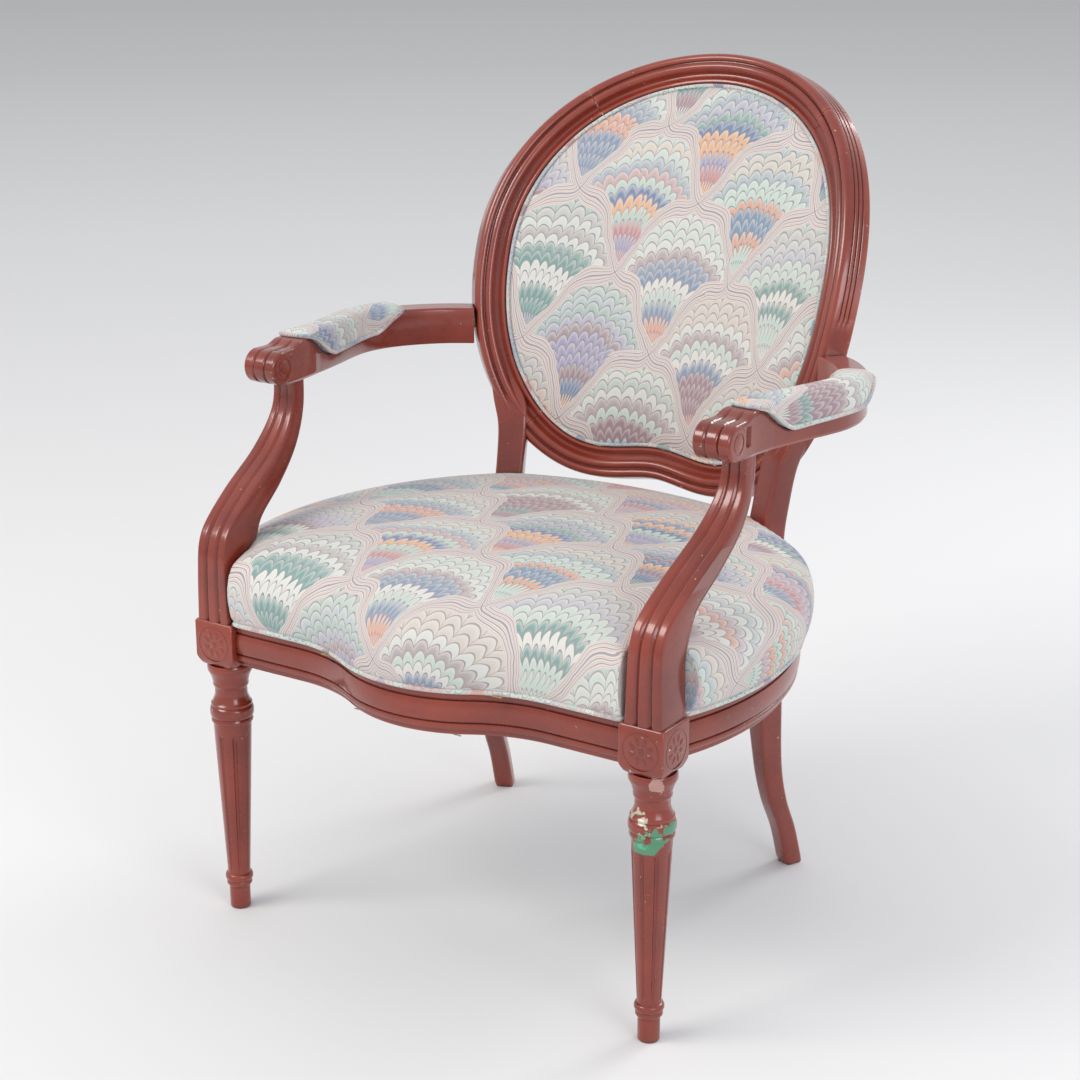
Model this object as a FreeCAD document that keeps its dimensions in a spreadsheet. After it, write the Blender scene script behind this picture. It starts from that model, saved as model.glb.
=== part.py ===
import FreeCAD, Part
import math
import os
import Sketcher
from FreeCAD import Placement, Rotation, Vector

# Oval-backed upholstered armchair in the Louis XVI manner, in millimetres. +Z is up, the sitter
# looks along -Y and has +X at the left hand. Every piece is drawn with y = 0 on the axes of the
# front legs, and all are then moved forward together, so that the origin lies under the middle.

SIZES = {
    # Front legs: a square block over a turned and fluted shaft.
    "front_leg_spacing": 567.0,
    "block_side": 54.0,
    "block_bottom": 315.0,
    "block_above_rail": 2.0,
    "block_arris": 1.2,
    "turning_step": 1.0,
    "foot_radius": 12.2,
    "foot_height": 28.0,
    "low_bead_radius": 16.4,
    "low_bead_height": 18.0,
    "shaft_low_radius": 13.2,
    "shaft_high": 240.0,
    "shaft_high_radius": 22.3,
    "ring_radius": 25.4,
    "neck_radius": 18.9,
    "collar_radius": 26.2,
    "flute_count": 8.0,
    "flute_radius": 2.9,
    "flute_run_out": 2.1,
    "flute_margin": 4.0,
    # Rosettes sunk into the outer faces of the blocks.
    "rosette_radius": 20.5,
    "rosette_depth": 1.6,
    "petal_count": 8.0,
    # Seat rails.
    "rail_top": 367.0,
    "rail_height": 50.0,
    "rail_thickness": 30.0,
    "rail_setback": 7.0,
    "moulding_step": 1.0,
    "front_bow": 46.0,
    "front_bow_half_width": 165.0,
    "side_widest": 329.0,
    "side_widest_at": 158.6,
    "rear_rail_bow": 30.0,
    "rear_rail_thickness": 26.0,
    "tenon_length": 18.0,
    "tenon_thickness": 10.0,
    "tenon_height": 32.0,
    "tenon_wall": 3.0,
    "joint_clearance": 0.2,
    # Rear uprights: sabre leg, post and one side of the oval.
    "rear_foot_x": 214.0,
    "rear_foot_y": 467.0,
    "rear_foot_width": 25.0,
    "rear_post_x": 186.0,
    "rear_post_y": 427.0,
    "rear_post_width": 35.0,
    "rear_post_depth": 34.0,
    "rear_post_turn": 25.0,
    # Oval back, drawn on a raked cylinder, with a wave in its lower side.
    "back_centre_y": 557.0,
    "back_centre_z": 708.0,
    "back_rake": 19.0,
    "back_curve_radius": 360.0,
    "oval_half_width": 231.5,
    "oval_up": 235.5,
    "oval_down": 255.0,
    "oval_wave": 34.0,
    "oval_wave_spread": 85.0,
    "oval_face": 38.5,
    "oval_depth": 34.0,
    "ledge_width": 12.0,
    "front_rabbet": 13.0,
    "rear_rabbet": 6.0,
    # Arms and their supports.
    "hand_x": 295.0,
    "hand_y": 103.0,
    "hand_z": 641.0,
    "hand_radius": 19.5,
    "hand_width": 44.0,
    "arm_width": 34.0,
    "arm_height": 45.0,
    "arm_bow_x": 328.0,
    "arm_bow_y": 320.0,
    "support_base_width": 45.0,
    "support_base_depth": 51.0,
    "support_top_width": 27.0,
    "support_top_depth": 24.0,
    "dowel_radius": 4.0,
    "dowel_length": 36.0,
    # Seat upholstery, from the webbing up.
    "web_width": 50.0,
    "web_thickness": 1.4,
    "burlap_thickness": 1.0,
    "seat_crown": 478.0,
    "seat_bulge": 13.0,
    "cloth_thickness": 1.4,
    "cloth_clearance": 0.4,
    "welt_size": 6.0,
    # Back and arm upholstery.
    "back_crown": 24.0,
    "pad_edge": 9.0,
    "arm_pad_front": 152.0,
    "arm_pad_length": 232.0,
    "arm_pad_height": 34.0,
    "arm_pad_overhang": 5.0,
    # Underside and fixings.
    "corner_block_leg": 62.0,
    "corner_block_height": 30.0,
    "screw_radius": 2.2,
    "screw_grip": 20.0,
    "screw_wall": 14.0,
    "dust_cover_thickness": 0.8,
    "staple_width": 10.0,
    "staple_wire": 1.0,
    # The origin lies under the middle of the whole chair's length.
    "origin_setback": 299.0,
}

doc = FreeCAD.newDocument("fauteuil")
sheet = doc.addObject("Spreadsheet::Sheet", "dims")
for row, (alias, number) in enumerate(SIZES.items(), start=1):
    sheet.set(f"A{row}", alias)
    sheet.set(f"B{row}", str(number))
    sheet.setAlias(f"B{row}", alias)
doc.recompute()


class Size(float):
    """A length that remembers the sheet expression it comes from."""

    def __new__(cls, number, words):
        made = super().__new__(cls, number)
        made.words = words
        return made

    def combine(self, other, sign, number, swap=False):
        mine, theirs = self.words, words_of(other)
        left, right = (theirs, mine) if swap else (mine, theirs)
        return Size(number, f"({left} {sign} {right})")

    def __add__(self, other):
        return self.combine(other, "+", float(self) + float(other))

    def __radd__(self, other):
        return self.combine(other, "+", float(self) + float(other), True)

    def __sub__(self, other):
        return self.combine(other, "-", float(self) - float(other))

    def __rsub__(self, other):
        return self.combine(other, "-", float(other) - float(self), True)

    def __mul__(self, other):
        return self.combine(other, "*", float(self) * float(other))

    def __rmul__(self, other):
        return self.combine(other, "*", float(self) * float(other), True)

    def __truediv__(self, other):
        return self.combine(other, "/", float(self) / float(other))

    def __neg__(self):
        return Size(-float(self), f"(0 - {self.words})")


def words_of(size):
    """The expression of a Size, or a plain number's own digits."""
    return getattr(size, "words", repr(float(size)))


class Sheet:
    """Reads one alias of the dimension sheet as a Size."""

    def __getattr__(self, alias):
        return Size(float(sheet.get(alias)), f"dims.{alias}")


d = Sheet()
pieces = []


# How far out of one plane four corners may lie, in mm.
FLATNESS = 1e-6


def keep(piece, node, drawn_y=0.0):
    """Names a finished piece and moves it from the drawing frame to the chair's own frame."""
    piece.Label = node
    pieces.append(piece)
    piece.setExpression("Placement.Base.y", words_of(drawn_y - d.origin_setback))
    return piece


def keep_mirrored(piece, node):
    """The same piece on the sitter's right, mirrored across the chair's middle."""
    twin = doc.addObject("Part::Mirroring", node)
    twin.Source = piece
    twin.Normal = Vector(1, 0, 0)
    twin.Base = Vector(0, 0, 0)
    twin.Label = node
    pieces.append(twin)
    return twin


def keep_shape(shape, node):
    """A piece whose form no sketch holds: its shape is worked out from the sheet's sizes."""
    piece = doc.addObject("Part::Feature", node)
    piece.Shape = shape
    piece.Placement = Placement()
    return keep(piece, node)


def keep_pair(shape, node):
    """A shaped piece at the sitter's left and its mirrored twin at the right."""
    left = keep_shape(shape, f"{node}_left")
    keep_mirrored(left, f"{node}_right")


def set_sizes(feature, **sizes):
    for prop, size in sizes.items():
        feature.setExpression(prop, words_of(size))


def place(feature, x, y, z, rotation=None):
    """Binds a primitive's corner or centre to the sheet."""
    if rotation is not None:
        feature.Placement = Placement(Vector(), rotation)
    for axis, size in zip("xyz", (x, y, z)):
        feature.setExpression(f"Placement.Base.{axis}", words_of(size))


def new_sketch(body, name, role, offset=(0, 0, 0)):
    sketch = body.newObject("Sketcher::SketchObject", name)
    plane = next(item for item in body.Origin.OriginFeatures if item.Role == role)
    sketch.AttachmentSupport = [(plane, "")]
    sketch.MapMode = "FlatFace"
    for axis, size in zip("xyz", offset):
        sketch.setExpression(f"AttachmentOffset.Base.{axis}", words_of(size))
    return sketch


def pin(sketch, line, end, x, y):
    """Fixes one end of a line at a place that the sheet gives."""
    for kind, size in (("DistanceX", x), ("DistanceY", y)):
        index = sketch.addConstraint(Sketcher.Constraint(kind, -1, 1, line, end, float(size)))
        if hasattr(size, "words"):
            sketch.setExpression(f"Constraints[{index}]", size.words)


def draw_outline(sketch, corners):
    """A closed outline of straight lines, each corner pinned to the sheet's sizes."""
    flat = [Vector(float(x), float(y), 0) for x, y in corners]
    first = sketch.GeometryCount
    for start, end in zip(flat, flat[1:] + flat[:1]):
        sketch.addGeometry(Part.LineSegment(start, end), False)
    count = len(flat)
    for index, (x, y) in enumerate(corners):
        sketch.addConstraint(
            Sketcher.Constraint("Coincident", first + index - 1 if index else first + count - 1, 2,
                                first + index, 1))
        pin(sketch, first + index, 1, x, y)


def draw_circle(sketch, x, y, radius):
    index = sketch.addGeometry(
        Part.Circle(Vector(float(x), float(y), 0), Vector(0, 0, 1), float(radius)), False)
    pin(sketch, index, 3, x, y)
    size = sketch.addConstraint(Sketcher.Constraint("Radius", index, float(radius)))
    sketch.setExpression(f"Constraints[{size}]", words_of(radius))


def revolve(body, name, sketch, axis="V_Axis"):
    turned = body.newObject("PartDesign::Revolution", name)
    turned.Profile = sketch
    turned.ReferenceAxis = (sketch, [axis])
    turned.Angle = 360
    return turned


def pad(body, name, sketch, length, reversed_way=False):
    made = body.newObject("PartDesign::Pad", name)
    made.Profile = sketch
    made.Reversed = reversed_way
    set_sizes(made, Length=length)
    return made


def cut_pocket(body, name, sketch, depth):
    made = body.newObject("PartDesign::Pocket", name)
    made.Profile = sketch
    set_sizes(made, Length=depth)
    return made


def ring_pattern(body, name, originals, axis, count):
    made = body.newObject("PartDesign::PolarPattern", name)
    made.Originals = originals
    made.Axis = axis
    made.Angle = 360
    set_sizes(made, Occurrences=count)
    body.Tip = made
    return made


def box(body, name, kind, size, corner, rotation=None):
    """A box added to or cut from a body, for tenons, mortises and trimmed ends."""
    made = body.newObject(f"PartDesign::{kind}Box", name)
    set_sizes(made, Length=size[0], Width=size[1], Height=size[2])
    place(made, *corner, rotation)
    return made


def bore(body, name, radius, depth, corner, rotation=None):
    made = body.newObject("PartDesign::SubtractiveCylinder", name)
    set_sizes(made, Radius=radius, Height=depth)
    place(made, *corner, rotation)
    return made


def polygon(points):
    return Part.makePolygon(list(points) + [points[0]])


def faceted(rings, closed=False):
    """A solid of flat faces through rings of corners: one face where four corners lie flat,
    two triangles where they do not. The last ring joins the first in a closed solid."""
    following = rings[1:] + (rings[:1] if closed else [])
    faces = [] if closed else [Part.Face(polygon(rings[0])), Part.Face(polygon(rings[-1]))]
    for near, far in zip(rings, following):
        for index in range(len(near)):
            other = (index + 1) % len(near)
            corners = [near[index], near[other], far[other], far[index]]
            normal = (corners[1] - corners[0]).cross(corners[2] - corners[0])
            flat = abs((corners[3] - corners[0]).dot(normal)) < normal.Length * FLATNESS
            if flat:
                faces.append(Part.Face(polygon(corners)))
            else:
                faces.append(Part.Face(polygon(corners[:3])))
                faces.append(Part.Face(polygon([corners[0]] + corners[2:])))
    solid = Part.Solid(Part.Shell(faces))
    if solid.Volume < 0:
        solid.reverse()
    return solid


def mix(start, end, share):
    return start + (end - start) * share


# Heights and places that several pieces share.
half_spacing = d.front_leg_spacing / 2
half_block = d.block_side / 2
block_top = d.rail_top + d.block_above_rail
rail_bottom = d.rail_top - d.rail_height
tenon_bottom = d.rail_top - d.rail_height / 2 - d.tenon_height / 2
rail_face_x = half_spacing + half_block - d.rail_setback
rail_face_y = d.rail_setback - half_block
slack = d.joint_clearance

# The side rails follow one arc through the leg block's face and the widest point of the seat.
arc_rise = d.side_widest - rail_face_x
arc_run = d.side_widest_at - half_block
side_radius = (arc_rise * arc_rise + arc_run * arc_run) / (2 * arc_rise)
side_centre_x = d.side_widest - side_radius
front_tenon_y = rail_face_y + d.rail_thickness / 2
side_tenon_x = rail_face_x - d.rail_thickness / 2


# Rear posts at seat height: the faces that the side and rear rails meet.
post_turn = math.radians(d.rear_post_turn)
post_centre = Vector(d.rear_post_x, d.rear_post_y, 0)
post_outward = Vector(math.cos(post_turn), -math.sin(post_turn), 0)
post_backward = Vector(math.sin(post_turn), math.cos(post_turn), 0)
post_outer_face = post_centre + post_outward * (d.rear_post_width / 2)
post_inner_face = post_centre - post_outward * (d.rear_post_width / 2)
post_rotation = Rotation(Vector(0, 0, 1), -float(d.rear_post_turn))



def on_side_arc(radius, angle):
    """A point beside the side rail's arc, at an angle from the chair's crosswise direction."""
    return Vector(side_centre_x + radius * math.cos(angle), d.side_widest_at
                  + radius * math.sin(angle), 0)


post_tenon_length = (d.rear_post_width - d.tenon_wall) / 2


def rail_end(radius):
    """Where an arc about the side rail's centre meets the plane of the post's outer face."""
    centre = Vector(side_centre_x, d.side_widest_at, 0)
    start = post_outer_face - centre
    along = start.dot(post_backward)
    slide = math.sqrt(along * along - start.dot(start) + float(radius) ** 2) - along
    return post_outer_face + post_backward * slide


def angle_of(point):
    return math.atan2(point.y - d.side_widest_at, point.x - side_centre_x)


# The rear rail bows back between the inner faces of the posts.
rear_half = float(post_inner_face.x)
rear_radius = (rear_half * rear_half + d.rear_rail_bow * d.rear_rail_bow) / (2 * d.rear_rail_bow)
rear_eye_y = post_inner_face.y + d.rear_rail_bow - rear_radius
rear_inner_radius = rear_radius - d.rear_rail_thickness / 2


def on_rear_arc(radius, x):
    return Vector(x, rear_eye_y + math.sqrt(float(radius * radius) - x * x), 0)


# Corner blocks and the screws that hold them to the rails, drawn for the left side.
side_inner_radius = side_radius - d.rail_thickness
rail_inner_y = rail_face_y + d.rail_thickness
screw_z = d.rail_top - d.rail_height / 2


def side_angle(y):
    return math.asin((y - d.side_widest_at) / side_inner_radius)


front_screw_x = half_spacing - half_block - d.corner_block_leg * 0.45
front_side_angle = side_angle(half_block + d.corner_block_leg * 0.55)
rail_end_angle = angle_of(rail_end(side_inner_radius))
rear_side_angle = rail_end_angle - d.corner_block_leg * 0.45 / side_inner_radius
rear_screw_x = rear_half - d.corner_block_leg * 0.45


def radial(angle):
    return Vector(math.cos(angle), math.sin(angle), 0)


def rear_way(x):
    start = on_rear_arc(rear_inner_radius, x)
    return Vector(start.x, start.y - rear_eye_y, 0).normalize()


side_screws = [
    ("front", on_side_arc(side_inner_radius, front_side_angle), radial(front_side_angle)),
    ("rear", on_side_arc(side_inner_radius, rear_side_angle), radial(rear_side_angle)),
]


# Front legs
def turning_profile():
    """Half section of the leg below its block, from the foot up: beads, flared shaft and rings."""
    step = d.turning_step
    shaft_low = d.foot_height + d.low_bead_height
    ring = d.ring_radius
    top = d.block_bottom + step
    bead = d.low_bead_radius
    high = d.shaft_high
    low = d.block_bottom
    return [
        (0, 0),
        (d.foot_radius, 0),
        (d.foot_radius, d.foot_height),
        (bead, d.foot_height),
        (bead, shaft_low),
        (d.shaft_low_radius, shaft_low),
        (d.shaft_high_radius, high),
        (ring, high),
        (ring, high + step * 22),
        (d.neck_radius, high + step * 33),
        (d.neck_radius, low - step * 34),
        (d.collar_radius - step, low - step * 10),
        (d.collar_radius - step, top),
        (0, top),
    ]


def carve_rosette(body, name, role, outward, sideways):
    """A round sunk bed with eight raised petals round a boss, on one face of the block."""
    centre = (0, d.rail_top - d.rail_height / 2, outward)
    bed_sketch = new_sketch(body, f"{name}_bed_sketch", role, centre)
    draw_circle(bed_sketch, 0, 0, d.rosette_radius)
    cut_pocket(body, f"{name}_bed", bed_sketch, d.rosette_depth)
    floor = (centre[0], centre[1], outward - d.rosette_depth)
    petal_sketch = new_sketch(body, f"{name}_petal_sketch", role, floor)
    reach = d.rosette_radius
    draw_outline(petal_sketch, [
        (reach * 0.26, reach * 0.0),
        (reach * 0.55, reach * -0.19),
        (reach * 0.80, reach * -0.17),
        (reach * 0.92, reach * 0.0),
        (reach * 0.80, reach * 0.17),
        (reach * 0.55, reach * 0.19),
    ])
    petal = pad(body, f"{name}_petal", petal_sketch, d.rosette_depth * 0.8)
    ring_pattern(body, f"{name}_petals", [petal], (petal_sketch, ["N_Axis"]), d.petal_count)
    boss = body.newObject("PartDesign::AdditivePrism", f"{name}_boss")
    boss.Polygon = 8
    set_sizes(boss, Circumradius=reach * 0.22, Height=d.rosette_depth * 1.2)
    turned = Rotation(Vector(0, 1, 0), 90) if sideways else Rotation(Vector(1, 0, 0), 90)
    x, y = (floor[2], 0) if sideways else (0, -floor[2])
    place(boss, x, y, centre[1], turned)


def front_leg():
    body = doc.addObject("PartDesign::Body", "front_leg")
    profile = new_sketch(body, "turning_profile", "XZ_Plane")
    draw_outline(profile, turning_profile())
    revolve(body, "turning", profile)

    block_sketch = new_sketch(body, "block_sketch", "XY_Plane", (0, 0, d.block_bottom))
    side = half_block
    draw_outline(block_sketch, [(-side, -side), (side, -side), (side, side), (-side, side)])
    block = pad(body, "block", block_sketch, block_top - d.block_bottom)
    doc.recompute()
    arrises = []
    for number, edge in enumerate(block.Shape.Edges, start=1):
        middle = edge.BoundBox.Center
        lies_high = edge.BoundBox.ZMin > block_top - 1e-3
        lies_low = abs(edge.BoundBox.ZMax - d.block_bottom) < 1e-3
        at_corner = min(abs(middle.x), abs(middle.y)) > side - 1e-3
        on_side = max(abs(middle.x), abs(middle.y)) > side - 1e-3
        if at_corner or (on_side and (lies_high or lies_low)):
            arrises.append(f"Edge{number}")
    chamfer = body.newObject("PartDesign::Chamfer", "block_arrises")
    chamfer.Base = (block, arrises)
    set_sizes(chamfer, Size=d.block_arris)

    # Flutes: a six-sided gouge that leans, so that it runs out of the shaft towards the foot.
    shaft_low = d.foot_height + d.low_bead_height
    taper = (d.shaft_high_radius - d.shaft_low_radius) / (d.shaft_high - shaft_low)
    flute_low = shaft_low + d.flute_margin
    flute_high = d.shaft_high - d.flute_margin * 3.5
    low_reach = d.shaft_low_radius + taper * d.flute_margin + d.flute_run_out
    high_reach = d.shaft_low_radius + taper * (flute_high - shaft_low)
    lean = math.degrees(math.atan2(high_reach - low_reach, flute_high - flute_low))
    gouge = body.newObject("PartDesign::SubtractivePrism", "flute")
    gouge.Polygon = 6
    set_sizes(gouge, Circumradius=d.flute_radius, Height=flute_high - flute_low)
    place(gouge, low_reach, 0, flute_low, Rotation(Vector(0, 1, 0), lean))
    doc.recompute()
    axis = next(item for item in body.Origin.OriginFeatures if item.Role == "Z_Axis")
    ring_pattern(body, "flutes", [gouge], (axis, [""]), d.flute_count)

    carve_rosette(body, "front_rosette", "XZ_Plane", half_block, False)
    carve_rosette(body, "side_rosette", "YZ_Plane", half_block, True)

    # Mortises for the front and side rails, and the hole for the arm support's dowel.
    width = d.tenon_thickness + slack * 2
    height = d.tenon_height + slack * 2
    depth = d.tenon_length + slack
    box(body, "front_mortise", "Subtractive", (depth, width, height),
        (-half_block, front_tenon_y - width / 2, tenon_bottom - slack))
    box(body, "side_mortise", "Subtractive", (width, depth, height),
        (side_tenon_x - half_spacing - width / 2, half_block - depth, tenon_bottom - slack))
    bore(body, "support_dowel_hole", d.dowel_radius + slack, d.dowel_length / 2 + slack,
         (0, 0, block_top - d.dowel_length / 2 - slack))
    body.setExpression("Placement.Base.x", half_spacing.words)
    return keep(body, "front_leg_left")


# Rails
def rail_profile(outer, inner, outward):
    """Moulded section of a rail: crowned band between two grooves, bead below. The place of the
    outer face, of the inner face and the outward direction are along the sketch's first axis."""
    step = d.moulding_step
    top = d.rail_top
    low = rail_bottom

    def at(setback):
        return outer - step * (setback * outward)

    return [
        (inner, low),
        (at(8), low),
        (at(7), low + step * 5),
        (at(2), low + step * 10),
        (at(4), low + step * 16),
        (at(0), low + step * 20),
        (at(0), top - step * 10.5),
        (at(4), top - step * 8),
        (at(2), top),
        (inner, top),
    ]


def front_rail():
    body = doc.addObject("PartDesign::Body", "front_rail")
    end = half_spacing - half_block
    half = d.front_bow_half_width
    bow = d.front_bow
    radius = (half * half + bow * bow) / (4 * bow)
    flat = rail_face_y
    swing = math.asin(half / 2 / radius)

    spine = new_sketch(body, "serpentine", "XY_Plane", (0, 0, d.rail_top))
    left_eye = Vector(-half, flat - radius, 0)
    right_eye = Vector(half, flat - radius, 0)

    def on_arc(eye, angle):
        return Vector(eye.x + radius * math.sin(angle), eye.y + radius * math.cos(angle), 0)

    joint_left = on_arc(left_eye, swing)
    joint_right = on_arc(right_eye, -swing)
    curves = [
        Part.LineSegment(Vector(-end, flat, 0), Vector(-half, flat, 0)),
        Part.Arc(Vector(-half, flat, 0), on_arc(left_eye, swing / 2), joint_left),
        Part.Arc(joint_left, Vector(0, flat - bow, 0), joint_right),
        Part.Arc(joint_right, on_arc(right_eye, -swing / 2), Vector(half, flat, 0)),
        Part.LineSegment(Vector(half, flat, 0), Vector(end, flat, 0)),
    ]
    for curve in curves:
        spine.addGeometry(curve, False)
    pin(spine, 0, 1, -end, flat)
    pin(spine, 0, 2, -half, flat)
    pin(spine, 4, 1, half, flat)
    pin(spine, 4, 2, end, flat)
    section = new_sketch(body, "rail_section", "YZ_Plane", (0, 0, -end))
    draw_outline(section, rail_profile(flat, flat + d.rail_thickness, -1))
    rail = body.newObject("PartDesign::AdditivePipe", "rail")
    rail.Profile = section
    rail.Spine = (spine, [f"Edge{number}" for number in range(1, 6)])

    size = (d.tenon_length, d.tenon_thickness, d.tenon_height)
    low_y = front_tenon_y - d.tenon_thickness / 2
    box(body, "left_tenon", "Additive", size, (end, low_y, tenon_bottom))
    box(body, "right_tenon", "Additive", size, (-end - d.tenon_length, low_y, tenon_bottom))
    screw_hole = Rotation(Vector(1, 0, 0), 90)
    inner = flat + d.rail_thickness
    for name, way in (("left", 1), ("right", -1)):
        bore(body, f"{name}_screw_hole", d.screw_radius + slack, d.screw_grip + slack,
             (front_screw_x * way, inner, screw_z), screw_hole)
    return keep(body, "seat_rail_front")


def turned_box(size, corner, rotation):
    made = Part.makeBox(*(float(length) for length in size))
    made.Placement = Placement(corner, rotation)
    return made


def post_tenon(outer, grow=0.0):
    """The tenon that enters a rear post from its outer or inner face, or its mortise."""
    face = post_outer_face if outer else post_inner_face
    shift = side_tenon_shift if outer else Vector()
    inward = -1 if outer else 0
    length = post_tenon_length + grow
    thick = d.tenon_thickness + grow * 2
    corner = face + shift + post_outward * (inward * length) - post_backward * (thick / 2)
    corner.z = tenon_bottom - grow
    return turned_box((length, thick, d.tenon_height + grow * 2), corner, post_rotation)


# The side rail reaches the post's outer face a little in front of the middle of that face.
side_tenon_shift = post_backward * float(-d.rail_setback * 0.6)


def side_rail():
    """Drawn about the centre of its own arc: a moulded section turned round that centre and
    sawn off at the leg block and at the rear post."""
    body = doc.addObject("PartDesign::Body", "side_rail")
    section = new_sketch(body, "rail_section", "XZ_Plane")
    draw_outline(section, rail_profile(side_radius, side_radius - d.rail_thickness, 1))
    bent = body.newObject("PartDesign::Revolution", "bent_rail")
    bent.Profile = section
    bent.ReferenceAxis = (section, ["V_Axis"])
    bent.Midplane = True
    bent.Angle = 116
    reach = side_radius * 2
    centre = Vector(side_centre_x, d.side_widest_at, 0)
    box(body, "front_cut", "Subtractive", (reach, reach, d.rail_top * 2),
        (0, half_block - d.side_widest_at - reach, 0))
    face = post_outer_face - centre
    corner = face - post_outward * float(reach) - post_backward * float(reach / 2)
    box(body, "rear_cut", "Subtractive", (reach, reach, d.rail_top * 2),
        (corner.x, corner.y, 0), post_rotation)

    box(body, "front_tenon", "Additive",
        (d.tenon_thickness, d.tenon_length + slack, d.tenon_height),
        (side_tenon_x - side_centre_x - d.tenon_thickness / 2,
         half_block - d.tenon_length - d.side_widest_at, tenon_bottom))
    tip = (post_outer_face + side_tenon_shift - centre - post_outward * float(post_tenon_length)
           - post_backward * float(d.tenon_thickness / 2))
    box(body, "rear_tenon", "Additive", (post_tenon_length + slack, d.tenon_thickness,
        d.tenon_height), (tip.x, tip.y, tenon_bottom), post_rotation)
    for name, start, way in side_screws:
        local = start - centre
        bore(body, f"{name}_screw_hole", d.screw_radius + slack, d.screw_grip + slack,
             (local.x, local.y, screw_z), Rotation(Vector(0, 0, 1), way))
    body.setExpression("Placement.Base.x", side_centre_x.words)
    return keep(body, "seat_rail_left", d.side_widest_at)


def rear_rail():
    """A plain bowed rail behind the seat, drawn about the centre of its arc."""
    body = doc.addObject("PartDesign::Body", "rear_rail")
    section = new_sketch(body, "rail_section", "YZ_Plane")
    low = rail_bottom
    inner = rear_inner_radius
    outer = rear_inner_radius + d.rear_rail_thickness
    edge = d.moulding_step * 2
    draw_outline(section, [
        (inner, low), (outer - edge, low), (outer, low + edge), (outer, d.rail_top - edge),
        (outer - edge, d.rail_top), (inner, d.rail_top),
    ])
    bent = body.newObject("PartDesign::Revolution", "bent_rail")
    bent.Profile = section
    bent.ReferenceAxis = (section, ["V_Axis"])
    bent.Midplane = True
    bent.Angle = 80
    reach = rear_radius * 2
    eye = Vector(0, rear_eye_y, 0)
    for name, way in (("left", 1), ("right", -1)):
        turn = post_rotation if way > 0 else post_rotation.inverted()
        outward = Vector(post_outward.x * way, post_outward.y, 0)
        backward = Vector(post_backward.x * way, post_backward.y, 0)
        face = Vector(post_inner_face.x * way, post_inner_face.y, 0) - eye
        corner = face - backward * float(reach / 2)
        tip = face - backward * float(d.tenon_thickness / 2)
        if way < 0:
            corner = corner + outward * float(reach)
        box(body, f"{name}_cut", "Subtractive", (reach, reach, d.rail_top * 2),
            (corner.x, corner.y, 0), turn)
        start = tip - outward * float(slack)
        if way < 0:
            start = tip + outward * float(post_tenon_length)
        box(body, f"{name}_tenon", "Additive", (post_tenon_length + slack, d.tenon_thickness,
            d.tenon_height), (start.x, start.y, tenon_bottom), turn)
        local = on_rear_arc(rear_inner_radius, rear_screw_x * way) - eye
        bore(body, f"{name}_screw_hole", d.screw_radius + slack, d.screw_grip + slack,
             (local.x, local.y, screw_z), Rotation(Vector(0, 0, 1), rear_way(rear_screw_x * way)))
    return keep(body, "seat_rail_rear", rear_eye_y)


def rod(start, way, stations, sides=8):
    """A many-sided rod along a direction, from its radius at each distance from the start."""
    turn = Rotation(Vector(0, 0, 1), way)
    rings = []
    for distance, radius in stations:
        ring = [Vector(float(radius) * math.cos(math.radians(360 / sides * side)),
                       float(radius) * math.sin(math.radians(360 / sides * side)),
                       float(distance)) for side in range(sides)]
        rings.append([start + turn.multVec(corner) for corner in ring])
    return faceted(rings)


def screw_solid(start, way):
    """A countersunk wood screw through a corner block into a rail, its point inside the rail."""
    radius = d.screw_radius
    head = d.screw_wall + radius
    end = d.screw_grip
    return rod(start, way, [(-head, radius * 2), (-head + radius, radius),
                            (end - radius * 2, radius), (end, radius / 4)])


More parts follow.
